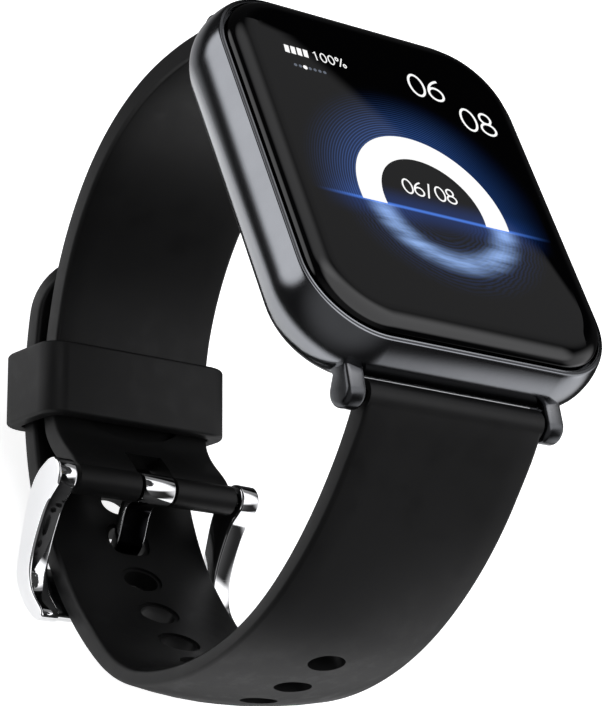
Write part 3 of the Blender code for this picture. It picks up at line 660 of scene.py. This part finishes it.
def dial_light(nodes):
    """The picture's soft parts: ripples round the ring, the glow, the horizon line and the water below it."""
    place = nodes.place_xyz()
    x, y, height = (nodes.math("DIVIDE", place[axis], MM) for axis in "XYZ")
    from_x = nodes.math("SUBTRACT", x, RING_X)
    from_y = nodes.math("SUBTRACT", y, RING_Y)
    reach = nodes.hypot(from_x, from_y)
    above = nodes.blend(y, HORIZON_Y - 0.1, HORIZON_Y + 0.1)
    outside = nodes.blend(reach, RING_OUTER - 0.1, RING_OUTER + 0.1)

    wave = nodes.math("SINE", nodes.times(reach, 2 * math.pi / RIPPLE_PITCH))
    wave = nodes.blend(wave, -0.2, 1.0)
    fade = nodes.blend(reach, 14.6, RING_OUTER)
    left = nodes.blend(nodes.math("SUBTRACT", from_y, from_x), -3.0, 9.0)
    ripple = nodes.times(wave, fade, above, outside, nodes.math("MULTIPLY_ADD", left, 0.85, 0.15))

    glow = nodes.math("POWER", nodes.blend(reach, 15.5, RING_OUTER - 1.5), 1.6)
    glow = nodes.times(glow, above, outside)

    down = nodes.math("ABSOLUTE", nodes.math("SUBTRACT", y, HORIZON_Y))
    ends = nodes.blend(nodes.math("ABSOLUTE", from_x), 14.0, 7.0)
    line = nodes.times(nodes.blend(down, 0.3, 0.02), ends)
    haze = nodes.times(nodes.blend(down, 2.6, 0.0), ends)

    # The ring mirrored in water: a squashed ring below the horizon, broken into level streaks.
    flat_y = nodes.times(nodes.math("SUBTRACT", y, HORIZON_Y), 1.28)
    side_x = nodes.math("SUBTRACT", x, 0.9)
    mirrored = nodes.math("ABSOLUTE", nodes.math("SUBTRACT", nodes.hypot(side_x, flat_y), 7.1))
    streak_place = nodes.add("ShaderNodeMapping", {"Vector": nodes.place(), "Scale": (160.0, 900.0, 1.0)})
    streaks = nodes.noise(1.0, 3.0, 0.6, streak_place.outputs[0])
    below = nodes.blend(y, HORIZON_Y + 0.05, HORIZON_Y - 0.15)
    band = nodes.math("POWER", nodes.blend(mirrored, 2.5, 0.0), 1.3)
    water = nodes.times(band, nodes.blend(streaks, 0.1, 0.75), below)
    wave = nodes.math("SINE", nodes.times(nodes.math("ADD", reach, streaks), 2 * math.pi / WATER_PITCH))
    shimmer = nodes.times(nodes.blend(mirrored, 5.5, 0.5), below, nodes.math("MULTIPLY_ADD", wave, 0.5, 0.5))

    in_x = nodes.blend(nodes.math("ABSOLUTE", x), SCREEN_X, SCREEN_X - 0.6)
    in_y = nodes.blend(nodes.math("ABSOLUTE", y), SCREEN_Y, SCREEN_Y - 0.6)
    on_screen = nodes.times(in_x, in_y, nodes.blend(height, -0.3, -0.05))
    total = None
    parts = ((ripple, (0.022, 0.052, 0.16)), (glow, (0.006, 0.022, 0.085)), (line, (0.05, 0.16, 0.6)),
             (haze, (0.004, 0.02, 0.1)), (water, (0.28, 0.44, 0.8)), (shimmer, (0.006, 0.018, 0.07)))
    for amount, colour in parts:
        lit = nodes.mix(nodes.times(amount, on_screen), (0, 0, 0, 1), (*colour, 1))
        if total is None:
            total = lit
        else:
            total = nodes.add("ShaderNodeVectorMath", {0: total, 1: lit}, operation="ADD").outputs[0]
    return total


def screen_glass(name):
    """Black-backed cover glass over a lit screen, with faint smears in its gloss."""
    material, nodes, shader = new_material(name)
    smear = nodes.blend(nodes.noise(90.0, 5.0, 0.6), 0.42, 0.75)
    rough = nodes.math("MULTIPLY_ADD", smear, 0.008, 0.004)
    dust = nodes.blend(nodes.noise(2600.0, 2.0), 0.72, 0.8)
    colour = nodes.mix(dust, (0.0008, 0.0008, 0.001, 1), (0.004, 0.004, 0.0045, 1))
    connect(nodes, shader, Base_Color=colour, Roughness=rough, IOR=1.5)
    connect(nodes, shader, Emission_Color=dial_light(nodes), Emission_Strength=1.0)
    return material


def lens_glass(name, colour):
    """Near-black sensor glass with a thin grey ring printed under it."""
    material, nodes, shader = new_material(name)
    place = nodes.place_xyz()
    reach = nodes.math("DIVIDE", nodes.hypot(place["X"], place["Y"]), MM)
    ring = nodes.times(nodes.blend(reach, 4.9, 5.0), nodes.blend(reach, 5.2, 5.1))
    tone = nodes.mix(ring, (*colour, 1), (0.05, 0.05, 0.055, 1))
    rough = nodes.math("MULTIPLY_ADD", nodes.noise(200.0), 0.05, 0.03)
    connect(nodes, shader, Base_Color=tone, Roughness=rough, Coat_Weight=1.0, Coat_Roughness=0.02)
    return material


MATERIALS = {
    "case_metal": metal("case metal", 0.24, 0.3, 0.15, tint=0.06, wear=0.2),
    # The lugs' metal is a darker copy of the case metal: painted shade for the lugs' darker look.
    "lug_metal_painted_shade": metal("lug metal", 0.08, 0.11, 0.24, tint=0.06, wear=0.2),
    "buckle_chrome": metal("buckle chrome", 0.82, 0.88, 0.05, grain_depth=0.000001, tint=0.01, wear=0.1),
    "tongue_chrome_painted_reflection": tongue_metal_painted_reflection("tongue chrome"),
    "screw_steel": metal("screw steel", 0.5, 0.62, 0.22, tint=0.02),
    "inner_metal": metal("inner metal", 0.42, 0.5, 0.35, tint=0.03),
    "contact_metal": metal("contact metal", 0.62, 0.7, 0.16, tint=-0.45),
    "strap_silicone": silicone("strap silicone", 0.006),
    # The keeper's silicone is a lighter copy of the strap's: painted light for the keeper's brighter lit face.
    "keeper_silicone_painted_light": silicone("keeper silicone", 0.009, 0.46),
    "back_plastic": plastic("back plastic", (0.011, 0.011, 0.012), (0.017, 0.017, 0.019), 0.32),
    "seal_rubber": plastic("seal rubber", (0.02, 0.02, 0.02), (0.03, 0.03, 0.03), 0.7),
    "flex_film": plastic("flex film", (0.28, 0.11, 0.02), (0.36, 0.15, 0.03), 0.35),
    "circuit_board": plastic("circuit board", (0.008, 0.05, 0.03), (0.012, 0.075, 0.045), 0.38),
    "chip_plastic": plastic("chip plastic", (0.014, 0.014, 0.015), (0.022, 0.022, 0.024), 0.5),
    "led_plastic": plastic("led plastic", (0.5, 0.5, 0.42), (0.6, 0.6, 0.5), 0.3),
    "battery_foil": plastic("battery foil", (0.3, 0.31, 0.33), (0.4, 0.41, 0.43), 0.3),
    "cover_glass": screen_glass("cover glass"),
    "sensor_lens": lens_glass("sensor lens", (0.004, 0.005, 0.006)),
    "display": glowing("screen light", (1.0, 1.0, 1.0), 1.0),
    "dim_display": glowing("dim screen light", (0.35, 0.4, 0.5), 0.35),
}


def dress(obj, material, body, replaced=()):
    """Gives a new piece its material and its body, and hides the nodes that it stands for."""
    obj.data.materials.clear()
    obj.data.materials.append(MATERIALS[material])
    if replaced:
        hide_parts(*replaced)
    if body:
        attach(obj, body)
    return obj


def dress_cad_nodes():
    """Every carried-over node takes the material of its record slot."""
    for part in frame["record"]["subparts"]:
        slot = part["material_slot"]
        obj = frame["nodes"][part["node"]]
        obj.data.materials.clear()
        obj.data.materials.append(MATERIALS["chip_plastic" if slot == "display" else slot])


# ---------------- case


def make_case():
    outer = [(outer_inset(z), z) for z in spread(SPLIT_Z, WIDEST_Z, 14)]
    outer += [(outer_inset(z), z) for z in spread(WIDEST_Z, SIDE_TOP, 12)[1:]]
    rim = [(0.6, -0.14), (0.66, -0.075), (0.7, -0.055), (0.72, -0.052), (0.93, -0.049), (0.95, -0.045),
           (1.03, -0.014), (1.06, -0.008), (1.08, -0.012), (GROOVE_INSET, -0.1)]
    inner = [(GROOVE_INSET, GROOVE_FLOOR), (2.9, GROOVE_FLOOR), (2.9, -1.9), (2.2, -2.4)]
    inner += [(2.2, SPLIT_Z + 0.1), (2.1, SPLIT_Z)]
    rings = [case_ring(inset, z) for inset, z in outer + rim + inner]
    case = loft("case_shell", rings, ring_loop=True, smooth_angle=50.0)
    for side, side_name in ((1, "right"), (-1, "left")):
        for end, end_name, nose in ((1, "top", LUG_NOSE_TOP), (-1, "bottom", LUG_NOSE_BOTTOM)):
            outline = [(end * y, z) for y, z in lug_outline(*nose)]
            low, high = sorted((side * LUG_INNER, side * LUG_OUTER))
            lug = slab_x(f"lug_{end_name}_{side_name}", outline, low, high, round_edge=0.5, steps=6)
            dress(lug, "lug_metal_painted_shade", "case")
    recess = slab_x("recess", button_outline(BUTTON_GAP), RECESS_FLOOR, CASE_X + 2.0)
    cut(case, recess, tube_x("stem_hole", 0.0, BUTTON_Z, STEM_HOLE, 14.0, 18.0))
    dress(case, "case_metal", "case", replaced=("case_body",))


def lug_outline(nose_y, nose_z, nose_radius):
    """A lug at the 12 o'clock end, in (y, z): its root in the case's side, then its round nose."""
    return [*LUG_ROOT, *arc(nose_y, nose_z, nose_radius, nose_radius, *LUG_NOSE_ANGLES, 24)]


def button_outline(margin):
    """The pill outline of the side button, in (y, z)."""
    radius = BUTTON_RADIUS + margin
    outline = []
    for side, first in ((1, -90), (-1, 90)):
        outline += arc(side * BUTTON_HALF_LONG, BUTTON_Z, radius, radius, first, first + 180, 16)
    return outline


def make_glass():
    """The cover glass: an upright edge that turns over into an elliptical dome and a flat face."""
    profile = [(0.15, -0.95), (0.04, -0.9), (0.0, -0.8)]
    profile += arc(DOME_INSET, 0.0, -DOME_INSET, GLASS_RISE, 0, 90)
    rings = []
    for inset, z in profile:
        outline = rounded_rectangle(GLASS_X - inset, GLASS_Y - inset, GLASS_CORNER - inset)
        rings.append([(x, y, z) for x, y in outline])
    glass = loft("cover_glass", rings, smooth_angle=50.0)
    dress(glass, "cover_glass", "case", replaced=("front_glass",))


def make_back():
    """The rear cover with its raised sensor plinth, and the parts set into it."""
    outer = [(outer_inset(z), z) for z in spread(BACK_Z, SPLIT_Z - SEAM_GAP, 14)]
    lip = [(2.5, SPLIT_Z - SEAM_GAP), (2.5, -5.4), (3.3, -5.4), (3.3, -6.3), (4.3, -6.95), (6.0, -7.2)]
    cover = loft("back_shell", [case_ring(inset, z) for inset, z in outer + lip])
    bump = turned_z("bump", 0, 0, [(10.8, -7.9), (10.8, -8.2), (10.5, -8.3), (9.9, -8.9), (9.7, -9.0)], 72)
    unite(cover, bump)
    cut(cover, turned_z("window_hole", 0, 0, [(WINDOW_RADIUS, -9.5), (WINDOW_RADIUS, -6.9)], 64))
    for sx in (1, -1):
        for sy in (1, -1):
            at = (sx * SCREW_X, sy * SCREW_Y)
            cut(cover, turned_z("head", *at, [(1.25, -8.6), (1.25, -7.6)], 32))
            cut(cover, turned_z("shaft", *at, [(0.7, -8.0), (0.7, -6.9)], 24))
        cut(cover, turned_z("pin", sx * CONTACT_X, CONTACT_Y, [(1.15, -8.6), (1.15, -6.9)], 32))
    soften_edges(cover, 0.12, 50.0, 2)
    dress(cover, "back_plastic", "case", replaced=("rear_cover",))
    lens_edge = arc(6.4, -9.0, 0.8, -0.3, 0, 90, 8)
    lens = turned_z("sensor_lens", 0, 0, [(7.15, -8.2), (7.2, -8.25), *lens_edge], 72)
    dress(lens, "sensor_lens", "case", replaced=("sensor_window",))
    corners = [(sx, sy) for sy in (1, -1) for sx in (1, -1)]
    for number, (sx, sy) in enumerate(corners, 1):
        make_back_screw(number, sx * SCREW_X, sy * SCREW_Y)
    for name, sx in (("left", -1), ("right", 1)):
        head = [(0.2, -8.32), (0.5, -8.3), (0.75, -8.24), (0.9, -8.12), (0.95, -7.95), (0.95, -6.9)]
        pin = turned_z(f"contact_{name}", sx * CONTACT_X, CONTACT_Y, head, 32)
        dress(pin, "contact_metal", "case", replaced=(f"charge_pin_{name}",))


def make_back_screw(number, x, y):
    """A domed screw with a cross slot."""
    profile = [(0.7, -8.14), (0.95, -8.1), (1.08, -8.02), (1.1, -7.9), (1.1, -7.65), (0.5, -7.65)]
    profile += [(0.5, -4.3), (0.35, -4.1)]
    screw = turned_z(f"back_screw_{number}", x, y, profile, 32)
    for turn in (SCREW_TURN, SCREW_TURN + math.pi / 2):
        blade = slab_x("blade", [(-0.62, -8.4), (0.62, -8.4), (0.5, -7.85), (-0.5, -7.85)], -0.1, 0.1)
        at = Matrix.Translation((x * MM, y * MM, 0.0))
        blade.data.transform(at @ Matrix.Rotation(turn, 4, "Z"))
        cut(screw, blade)
    dress(screw, "screw_steel", "case", replaced=(f"rear_screw_{number}",))


def make_button():
    button = slab_x("push_button", button_outline(0.0), BUTTON_IN, BUTTON_OUT, round_edge=0.3, steps=5)
    unite(button, tube_x("stem", 0.0, BUTTON_Z, STEM_RADIUS, STEM_END, BUTTON_IN + 0.15))
    groove = [(0.5, 14.6), (0.5, 15.0), (0.9, 15.0), (0.9, 14.6)]
    cut(button, turned_x("groove", 0.0, BUTTON_Z, groove, 32, hollow=True))
    dress(button, "case_metal", "button", replaced=("side_button",))


# ---------------- dial


def ribbon(path, width, closed=False):
    """A flat stroke of this width along a path on the glass, as a thin solid."""
    count = len(path)
    left, right = [], []
    for i, (x, y) in enumerate(path):
        ahead = path[(i + 1) % count] if closed or i < count - 1 else path[i]
        behind = path[i - 1] if closed or i > 0 else path[i]
        dx, dy = ahead[0] - behind[0], ahead[1] - behind[1]
        size = math.hypot(dx, dy)
        nx, ny = -dy / size * width / 2, dx / size * width / 2
        left.append((x + nx, y + ny))
        right.append((x - nx, y - ny))
    return strip_solid(left, right, closed)


def strip_solid(left, right, closed):
    """The thin solid between two edge lines on the glass, as (points, faces)."""
    count = len(left)
    low, high = GLASS_RISE - STROKE_LIFT, GLASS_RISE + STROKE_LIFT
    points = [(x, y, z) for z in (low, high) for side in (left, right) for x, y in side]
    faces = []
    for i in range(count if closed else count - 1):
        k = (i + 1) % count
        faces.append((i, k, count + k, count + i))
        faces.append((2 * count + i, 3 * count + i, 3 * count + k, 2 * count + k))
        faces.append((i, 2 * count + i, 2 * count + k, k))
        faces.append((count + i, count + k, 3 * count + k, 3 * count + i))
    if not closed:
        for i in (0, count - 1):
            faces.append((i, count + i, 3 * count + i, 2 * count + i))
    return points, faces


def digit_strokes(sign):
    """A plain round-cornered numeral as strokes in a cell 0.62 wide and 1 high: (path, closed) pairs."""
    if sign == "0":
        return [(arc(0.31, 0.5, 0.27, 0.46, 0, 360, 40)[:-1], True)]
    if sign == "1":
        return [([(0.14, 0.76), (0.34, 0.96), (0.34, 0.04)], False)]
    if sign == "6":
        bowl = arc(0.31, 0.31, 0.26, 0.27, 0, 360, 36)[:-1]
        return [(bowl, True), (arc(0.78, 0.3, 0.73, 0.68, 180, 112, 16), False)]
    if sign == "8":
        upper = arc(0.31, 0.74, 0.2, 0.22, 0, 360, 32)[:-1]
        return [(upper, True), (arc(0.31, 0.28, 0.26, 0.24, 0, 360, 36)[:-1], True)]
    if sign == "/":
        return [([(0.12, 0.0), (0.42, 1.02)], False)]
    if sign == "%":
        first = arc(0.16, 0.78, 0.13, 0.17, 0, 360, 20)[:-1]
        second = arc(0.8, 0.22, 0.13, 0.17, 0, 360, 20)[:-1]
        return [(first, True), (second, True), ([(0.27, 0.02), (0.7, 0.98)], False)]
    raise ValueError(sign)


def merge(parts):
    """Joins (points, faces) lists into one."""
    points, faces = [], []
    for some_points, some_faces in parts:
        start = len(points)
        points += some_points
        faces += [tuple(start + i for i in face) for face in some_faces]
    return points, faces


def half_ring():
    """The ring above the horizon, cut off level at both ends."""
    rims = []
    for radius in (RING_OUTER, RING_INNER):
        dip = math.degrees(math.asin((HORIZON_Y - RING_Y) / radius))
        rims.append(arc(RING_X, RING_Y, radius, radius, dip, 180 - dip, 96))
    return strip_solid(*rims, closed=False)


def numerals(name, text, x, y, height, stroke, spacing, wide):
    """Dial numbers with their lower left corner at (x, y). Spacing is in heights, and wide stretches them."""
    parts = []
    for number, sign in enumerate(text):
        for path, closed in digit_strokes(sign):
            shift = x + number * spacing * height
            moved = [(shift + px * wide * height, y + py * height) for px, py in path]
            parts.append(ribbon(moved, stroke, closed))
    dress(add_mesh(name, *merge(parts)), "display", "case")


def dial_disc(x, y, radius):
    """A dot, drawn as a ring whose hole is all but closed."""
    return ribbon(disc(x, y, radius / 2, 20), radius * 0.98, closed=True)


def make_dial():
    dress(add_mesh("dial_ring", *half_ring()), "display", "case")
    numerals("dial_hours", "06", 3.3, 11.05, 2.95, 0.26, 0.76, 1.12)
    numerals("dial_minutes", "08", 8.6, 8.0, 3.0, 0.26, 0.76, 1.12)
    numerals("dial_date", "06/08", -2.75, -2.9, 1.85, 0.17, 0.69, 1.08)
    numerals("dial_charge", "100%", -8.0, 12.22, 1.2, 0.12, 0.76, 1.0)
    bar_x, bar_pitch, bar_low, bar_high = -11.0, 0.72, 12.3, 13.25
    bars = []
    for i in range(4):
        x = bar_x + bar_pitch * i
        bars.append(ribbon([(x, bar_low), (x + 0.1, bar_high)], 0.5))
    dress(add_mesh("dial_battery_bars", *merge(bars)), "display", "case")
    today = 2
    day_x, day_y, day_pitch = -10.6, 10.8, 0.56
    dots = [dial_disc(day_x + day_pitch * i, day_y, 0.18) for i in range(7) if i != today]
    dress(add_mesh("dial_weekday_dots", *merge(dots)), "dim_display", "case")
    dress(add_mesh("dial_today_dot", *dial_disc(day_x + day_pitch * today, day_y, 0.25)), "display", "case")


# ---------------- strap


def sleeve_rise(s):
    """How far the short strap has risen towards the sleeve at this distance along it."""
    return SLEEVE_RISE * ease((s - SLEEVE_FROM) / SLEEVE_RUN)


def make_strap_upper():
    """The 12 o'clock half: a curved band that runs into the sleeve round the buckle's bar."""
    rings = []
    for s in spread(-SHORT_OVERLAP, path_length(SHORT_PATH), 110):
        place = path_place(SHORT_PATH, s)
        lift = SHORT_LIFT * (1 - ease(s / LIFT_RUN))
        thick = SHORT_THICK + lift
        rings.append(strap_section(place, -1, short_half_width(s), thick, sleeve_rise(s) - lift))
    strap = loft("strap_upper", rings)
    unite(strap, tube_x("barrel", LUG_Y, LUG_Z, BARREL_RADIUS, -BARREL_HALF, BARREL_HALF))
    unite(strap, tube_x("sleeve", PIVOT_Y, PIVOT_Z, SLEEVE_RADIUS, -SLEEVE_HALF, SLEEVE_HALF))
    cut(strap, tube_x("bar_hole", LUG_Y, LUG_Z, BAR_HOLE, -11.0, 11.0))
    cut(strap, tube_x("bar_hole", PIVOT_Y, PIVOT_Z, SLEEVE_BORE, -11.0, 11.0))
    cut(strap, thumb_recess())
    cut(strap, slab_x("tongue_slot", TONGUE_SLOT, -TONGUE_SLOT_HALF, TONGUE_SLOT_HALF))
    soften_edges(strap, 0.1, 50.0, 2)
    dress(strap, "strap_silicone", "strap_short", replaced=("strap_short",))


def thumb_recess():
    """A cutter for the oval hollow in the inner face beside the keeper. It follows the strap's own curve."""
    rings = []
    wide, long = HOLLOW_HALF
    floor = SHORT_THICK - HOLLOW_DEPTH
    for size, depth in ((0.02, floor), (0.4, floor), (0.75, floor), (0.96, floor), (1.06, floor + 2.0),
                        (0.02, floor + 2.0)):
        ring = []
        for x, along in disc(0.0, 0.0, size, 56):
            s = KEEPER_AT + HOLLOW_AHEAD + long * along
            ring.append((wide * x, *beside(path_place(SHORT_PATH, s), -1, 0.0, depth + sleeve_rise(s))))
        rings.append(ring)
    return loft("hollow", rings)


def strap_plug(s, size, depth_low, depth_high):
    """A plug that stands in the lower strap at this distance along it. Its size is half its width, half its
    length and a power that makes it oval at 1 and squarer below that."""
    wide, long, power = size
    place = path_place(LONG_PATH, s)
    rings = []
    for depth in (depth_low, depth_high):
        ring = []
        for i in range(32):
            theta = 2 * math.pi * (i + 0.5) / 32
            x = wide * math.copysign(abs(math.cos(theta)) ** power, math.cos(theta))
            ring.append((x, *beside(place, 1, long * math.sin(theta), depth)))
        rings.append(ring)
    return loft("plug", rings)


def make_strap_lower():
    """The 6 o'clock half with its adjustment holes, each in a shallow recess in the inner face."""
    total = path_length(LONG_PATH)
    rings = []
    for s in spread(-LONG_OVERLAP, total - 1.6, 150) + spread(total - 1.5, total, 8):
        place = path_place(LONG_PATH, s)
        lift = LONG_LIFT * (1 - ease(s / LIFT_RUN))
        crown = CROWN * ease((s - CROWN_FROM) / CROWN_RISE) * (1 - ease((s - CROWN_TO) / CROWN_FALL))
        rings.append(strap_section(place, 1, long_half_width(s), LONG_THICK + lift, -lift, crown))
    strap = loft("strap_lower", rings)
    unite(strap, tube_x("barrel", -LUG_Y, LUG_Z, BARREL_RADIUS, -BARREL_HALF, BARREL_HALF))
    cut(strap, tube_x("bar_hole", -LUG_Y, LUG_Z, BAR_HOLE, -11.0, 11.0))
    for number in range(HOLE_COUNT):
        s = HOLE_FIRST + HOLE_PITCH * number
        size = HOLE_SIZE
        if number == TONGUE_HOLE:
            s += TONGUE_HOLE_SHIFT
            size = TONGUE_HOLE_SIZE
        rim = (size[0] + HOLE_RIM[0], size[1] + HOLE_RIM[1], size[2])
        cut(strap, strap_plug(s, size, -1.5, LONG_THICK + 1.5))
        cut(strap, strap_plug(s, rim, LONG_THICK - HOLE_RECESS, LONG_THICK + 1.0))
    soften_edges(strap, 0.1, 50.0, 2)
    dress(strap, "strap_silicone", None, replaced=("strap_long",))
    return strap


def make_keeper():
    """The loose loop, rounded on its outer edges and straight inside."""
    place = path_place(SHORT_PATH, KEEPER_AT)
    half_depth = (KEEPER_INWARD + KEEPER_OUTWARD) / 2
    middle = (KEEPER_INWARD - KEEPER_OUTWARD) / 2
    end = KEEPER_HEIGHT / 2
    soft = KEEPER_SOFT
    low_edge = arc(soft - end, KEEPER_WALL - soft, -soft, soft, 0, 90, 5)
    layers = [(t, grow, 2.4) for t, grow in low_edge]
    layers += [(-t, grow, radius) for t, grow, radius in reversed(layers)]
    layers += [(end, 0.1, 1.1), (end - 0.1, 0.0, 1.0), (-end + 0.1, 0.0, 1.0), (-end, 0.1, 1.1)]
    rings = []
    for t, grow, radius in layers:
        outline = rounded_rectangle(KEEPER_HALF + grow, half_depth + grow, radius, 13)
        rings.append([(x, *beside(place, -1, t, depth + middle)) for x, depth in outline])
    keeper = loft("strap_loop", rings, ring_loop=True)
    dress(keeper, "keeper_silicone_painted_light", "keeper", replaced=("keeper_loop",))


# ---------------- buckle


def make_buckle():
    """The hoop of two bent arms and a far bar, and the tongue on its ring."""
    eye = arc(PIVOT_Y, PIVOT_Z, ARM_EYE, ARM_EYE, 0, 180, 6)
    arm = smooth_loop([*eye, *ARM_OUTLINE], 6)
    buckle = slab_x("buckle_hoop", arm, -ARM_OUTER, -ARM_INNER, ARM_ROUND)
    unite(buckle, slab_x("arm", arm, ARM_INNER, ARM_OUTER, ARM_ROUND))
    unite(buckle, slab_x("far_bar", smooth_loop(FAR_BAR_OUTLINE, 5), -FAR_BAR_HALF, FAR_BAR_HALF))
    dress(buckle, "buckle_chrome", "buckle_frame", replaced=("buckle_frame",))
    end = TONGUE_RING_HALF
    right = [(TONGUE_RING - 0.13, end), (TONGUE_RING - 0.03, end - 0.03), (TONGUE_RING, end - 0.13)]
    left = [(radius, -x) for radius, x in reversed(right)]
    ring = [(TONGUE_BORE, -end), (TONGUE_BORE, end), *right, *left]
    tongue = turned_x("buckle_pin", PIVOT_Y, PIVOT_Z, ring, 64, hollow=True)
    unite(tongue, slab_x("shank", smooth_loop(SHANK_OUTLINE, 4), -TONGUE_HALF, TONGUE_HALF, 0.15, 3))
    cut(tongue, tube_x("bar_bore", PIVOT_Y, PIVOT_Z, TONGUE_BORE, -4.0, 4.0, 64))
    dress(tongue, "tongue_chrome_painted_reflection", "buckle_tongue", replaced=("buckle_tongue",))


# ---------------- stage


def lobe(nodes, direction, towards, radius, soft, radiance):
    """A round soft light at infinity."""
    aim = Vector(towards).normalized()
    dot = nodes.add("ShaderNodeVectorMath", {0: direction, 1: aim}, operation="DOT_PRODUCT").outputs["Value"]
    edge_out = math.cos(math.radians(radius + soft))
    edge_in = math.cos(math.radians(max(radius - soft, 0.0)))
    return nodes.blend(dot, edge_out, edge_in, 0.0, radiance)


def make_world():
    """Soft studio lights painted on the sky, and a plain white backdrop for the camera.

    The wedge is a faint straight-edged light that the screen mirrors on one side of a slanting line.
    """
    world = bpy.data.worlds.new("studio")
    bpy.context.scene.world = world
    world.use_nodes = True
    nodes = Nodes(world.node_tree)
    background = world.node_tree.nodes["Background"]
    direction = nodes.add("ShaderNodeTexCoord").outputs["Generated"]
    wedge_normal = (0.3167, 0.4019, -0.8592)
    wedge_light = 0.24
    cross = nodes.add("ShaderNodeVectorMath", {0: direction, 1: wedge_normal}, operation="DOT_PRODUCT")
    near_mirror = lobe(nodes, direction, (0.6, 0.6, 0.52), 17.0, 7.0, 1.0)
    wedge = nodes.times(nodes.blend(cross.outputs["Value"], 0.003, -0.003), near_mirror)
    level = nodes.math("MULTIPLY_ADD", wedge, wedge_light, AMBIENT)
    for towards, radius, soft, radiance in STUDIO_LIGHTS:
        level = nodes.math("ADD", level, lobe(nodes, direction, towards, radius, soft, radiance))
    mirror_dark = lobe(nodes, direction, (0.62, 0.62, 0.48), 17.0, 7.0, 1.0)
    level = nodes.math("MULTIPLY_ADD", mirror_dark, -0.02, level)
    tone = nodes.add("ShaderNodeCombineColor", {0: level, 1: level, 2: nodes.times(level, 1.02)})
    seen = nodes.add("ShaderNodeLightPath").outputs["Is Camera Ray"]
    nodes.tree.links.new(nodes.mix(seen, tone.outputs[0], (1.0, 1.0, 1.0, 1)), background.inputs["Color"])
    background.inputs["Strength"].default_value = 1.0


def make_floor():
    """A pale floor. Reflections show only its near part, as a small table in a dark studio."""
    half = 3000.0
    gap = 0.05
    z = cad_low.z / MM - gap + GLASS_RISE
    corners = [(-half, -half, z), (half, -half, z), (half, half, z), (-half, half, z)]
    floor = add_mesh("floor", corners, [(0, 1, 2, 3)])
    material, nodes, shader = new_material("floor")
    place = nodes.place_xyz()
    far = nodes.blend(nodes.hypot(place["X"], place["Y"]), 0.05, 0.078)
    path = nodes.add("ShaderNodeLightPath")
    grain = nodes.noise(900.0)
    colour = nodes.mix(grain, (0.86, 0.865, 0.87, 1), (0.9, 0.9, 0.905, 1))
    connect(nodes, shader, Base_Color=colour, Roughness=0.7, Specular_IOR_Level=0.1)
    shine = nodes.math("MULTIPLY_ADD", path.outputs["Is Camera Ray"], 0.75, 0.1)
    shine = nodes.math("MULTIPLY_ADD", path.outputs["Is Glossy Ray"], 0.55, shine)
    connect(nodes, shader, Emission_Color=(1.0, 1.0, 1.0, 1.0), Emission_Strength=shine)
    clear = nodes.add("ShaderNodeBsdfTransparent")
    hidden = nodes.times(path.outputs["Is Glossy Ray"], far)
    shown = nodes.add("ShaderNodeMixShader", {0: hidden, 1: shader.outputs[0], 2: clear.outputs[0]})
    output = material.node_tree.nodes["Material Output"]
    nodes.tree.links.new(shown.outputs[0], output.inputs["Surface"])
    floor.data.materials.append(material)


def make_camera():
    camera = bpy.data.objects.new("camera", bpy.data.cameras.new("camera"))
    camera.data.lens = CAMERA_LENS
    camera.data.sensor_width = 36.0
    camera.data.clip_start = 0.01
    camera.location = CAMERA_AT
    camera.rotation_mode = "QUATERNION"
    roll = Quaternion((0, 0, 1), -math.radians(CAMERA_ROLL))
    camera.rotation_quaternion = Vector(CAMERA_FORWARD).to_track_quat("-Z", "Y") @ roll
    bpy.context.scene.collection.objects.link(camera)
    bpy.context.scene.camera = camera


dress_cad_nodes()
make_case()
make_glass()
make_back()
make_button()
make_dial()
make_strap_upper()
lower = make_strap_lower()
make_keeper()
make_buckle()
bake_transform(lower)
make_world()
make_floor()
make_camera()
bpy.context.scene.view_settings.view_transform = "Standard"
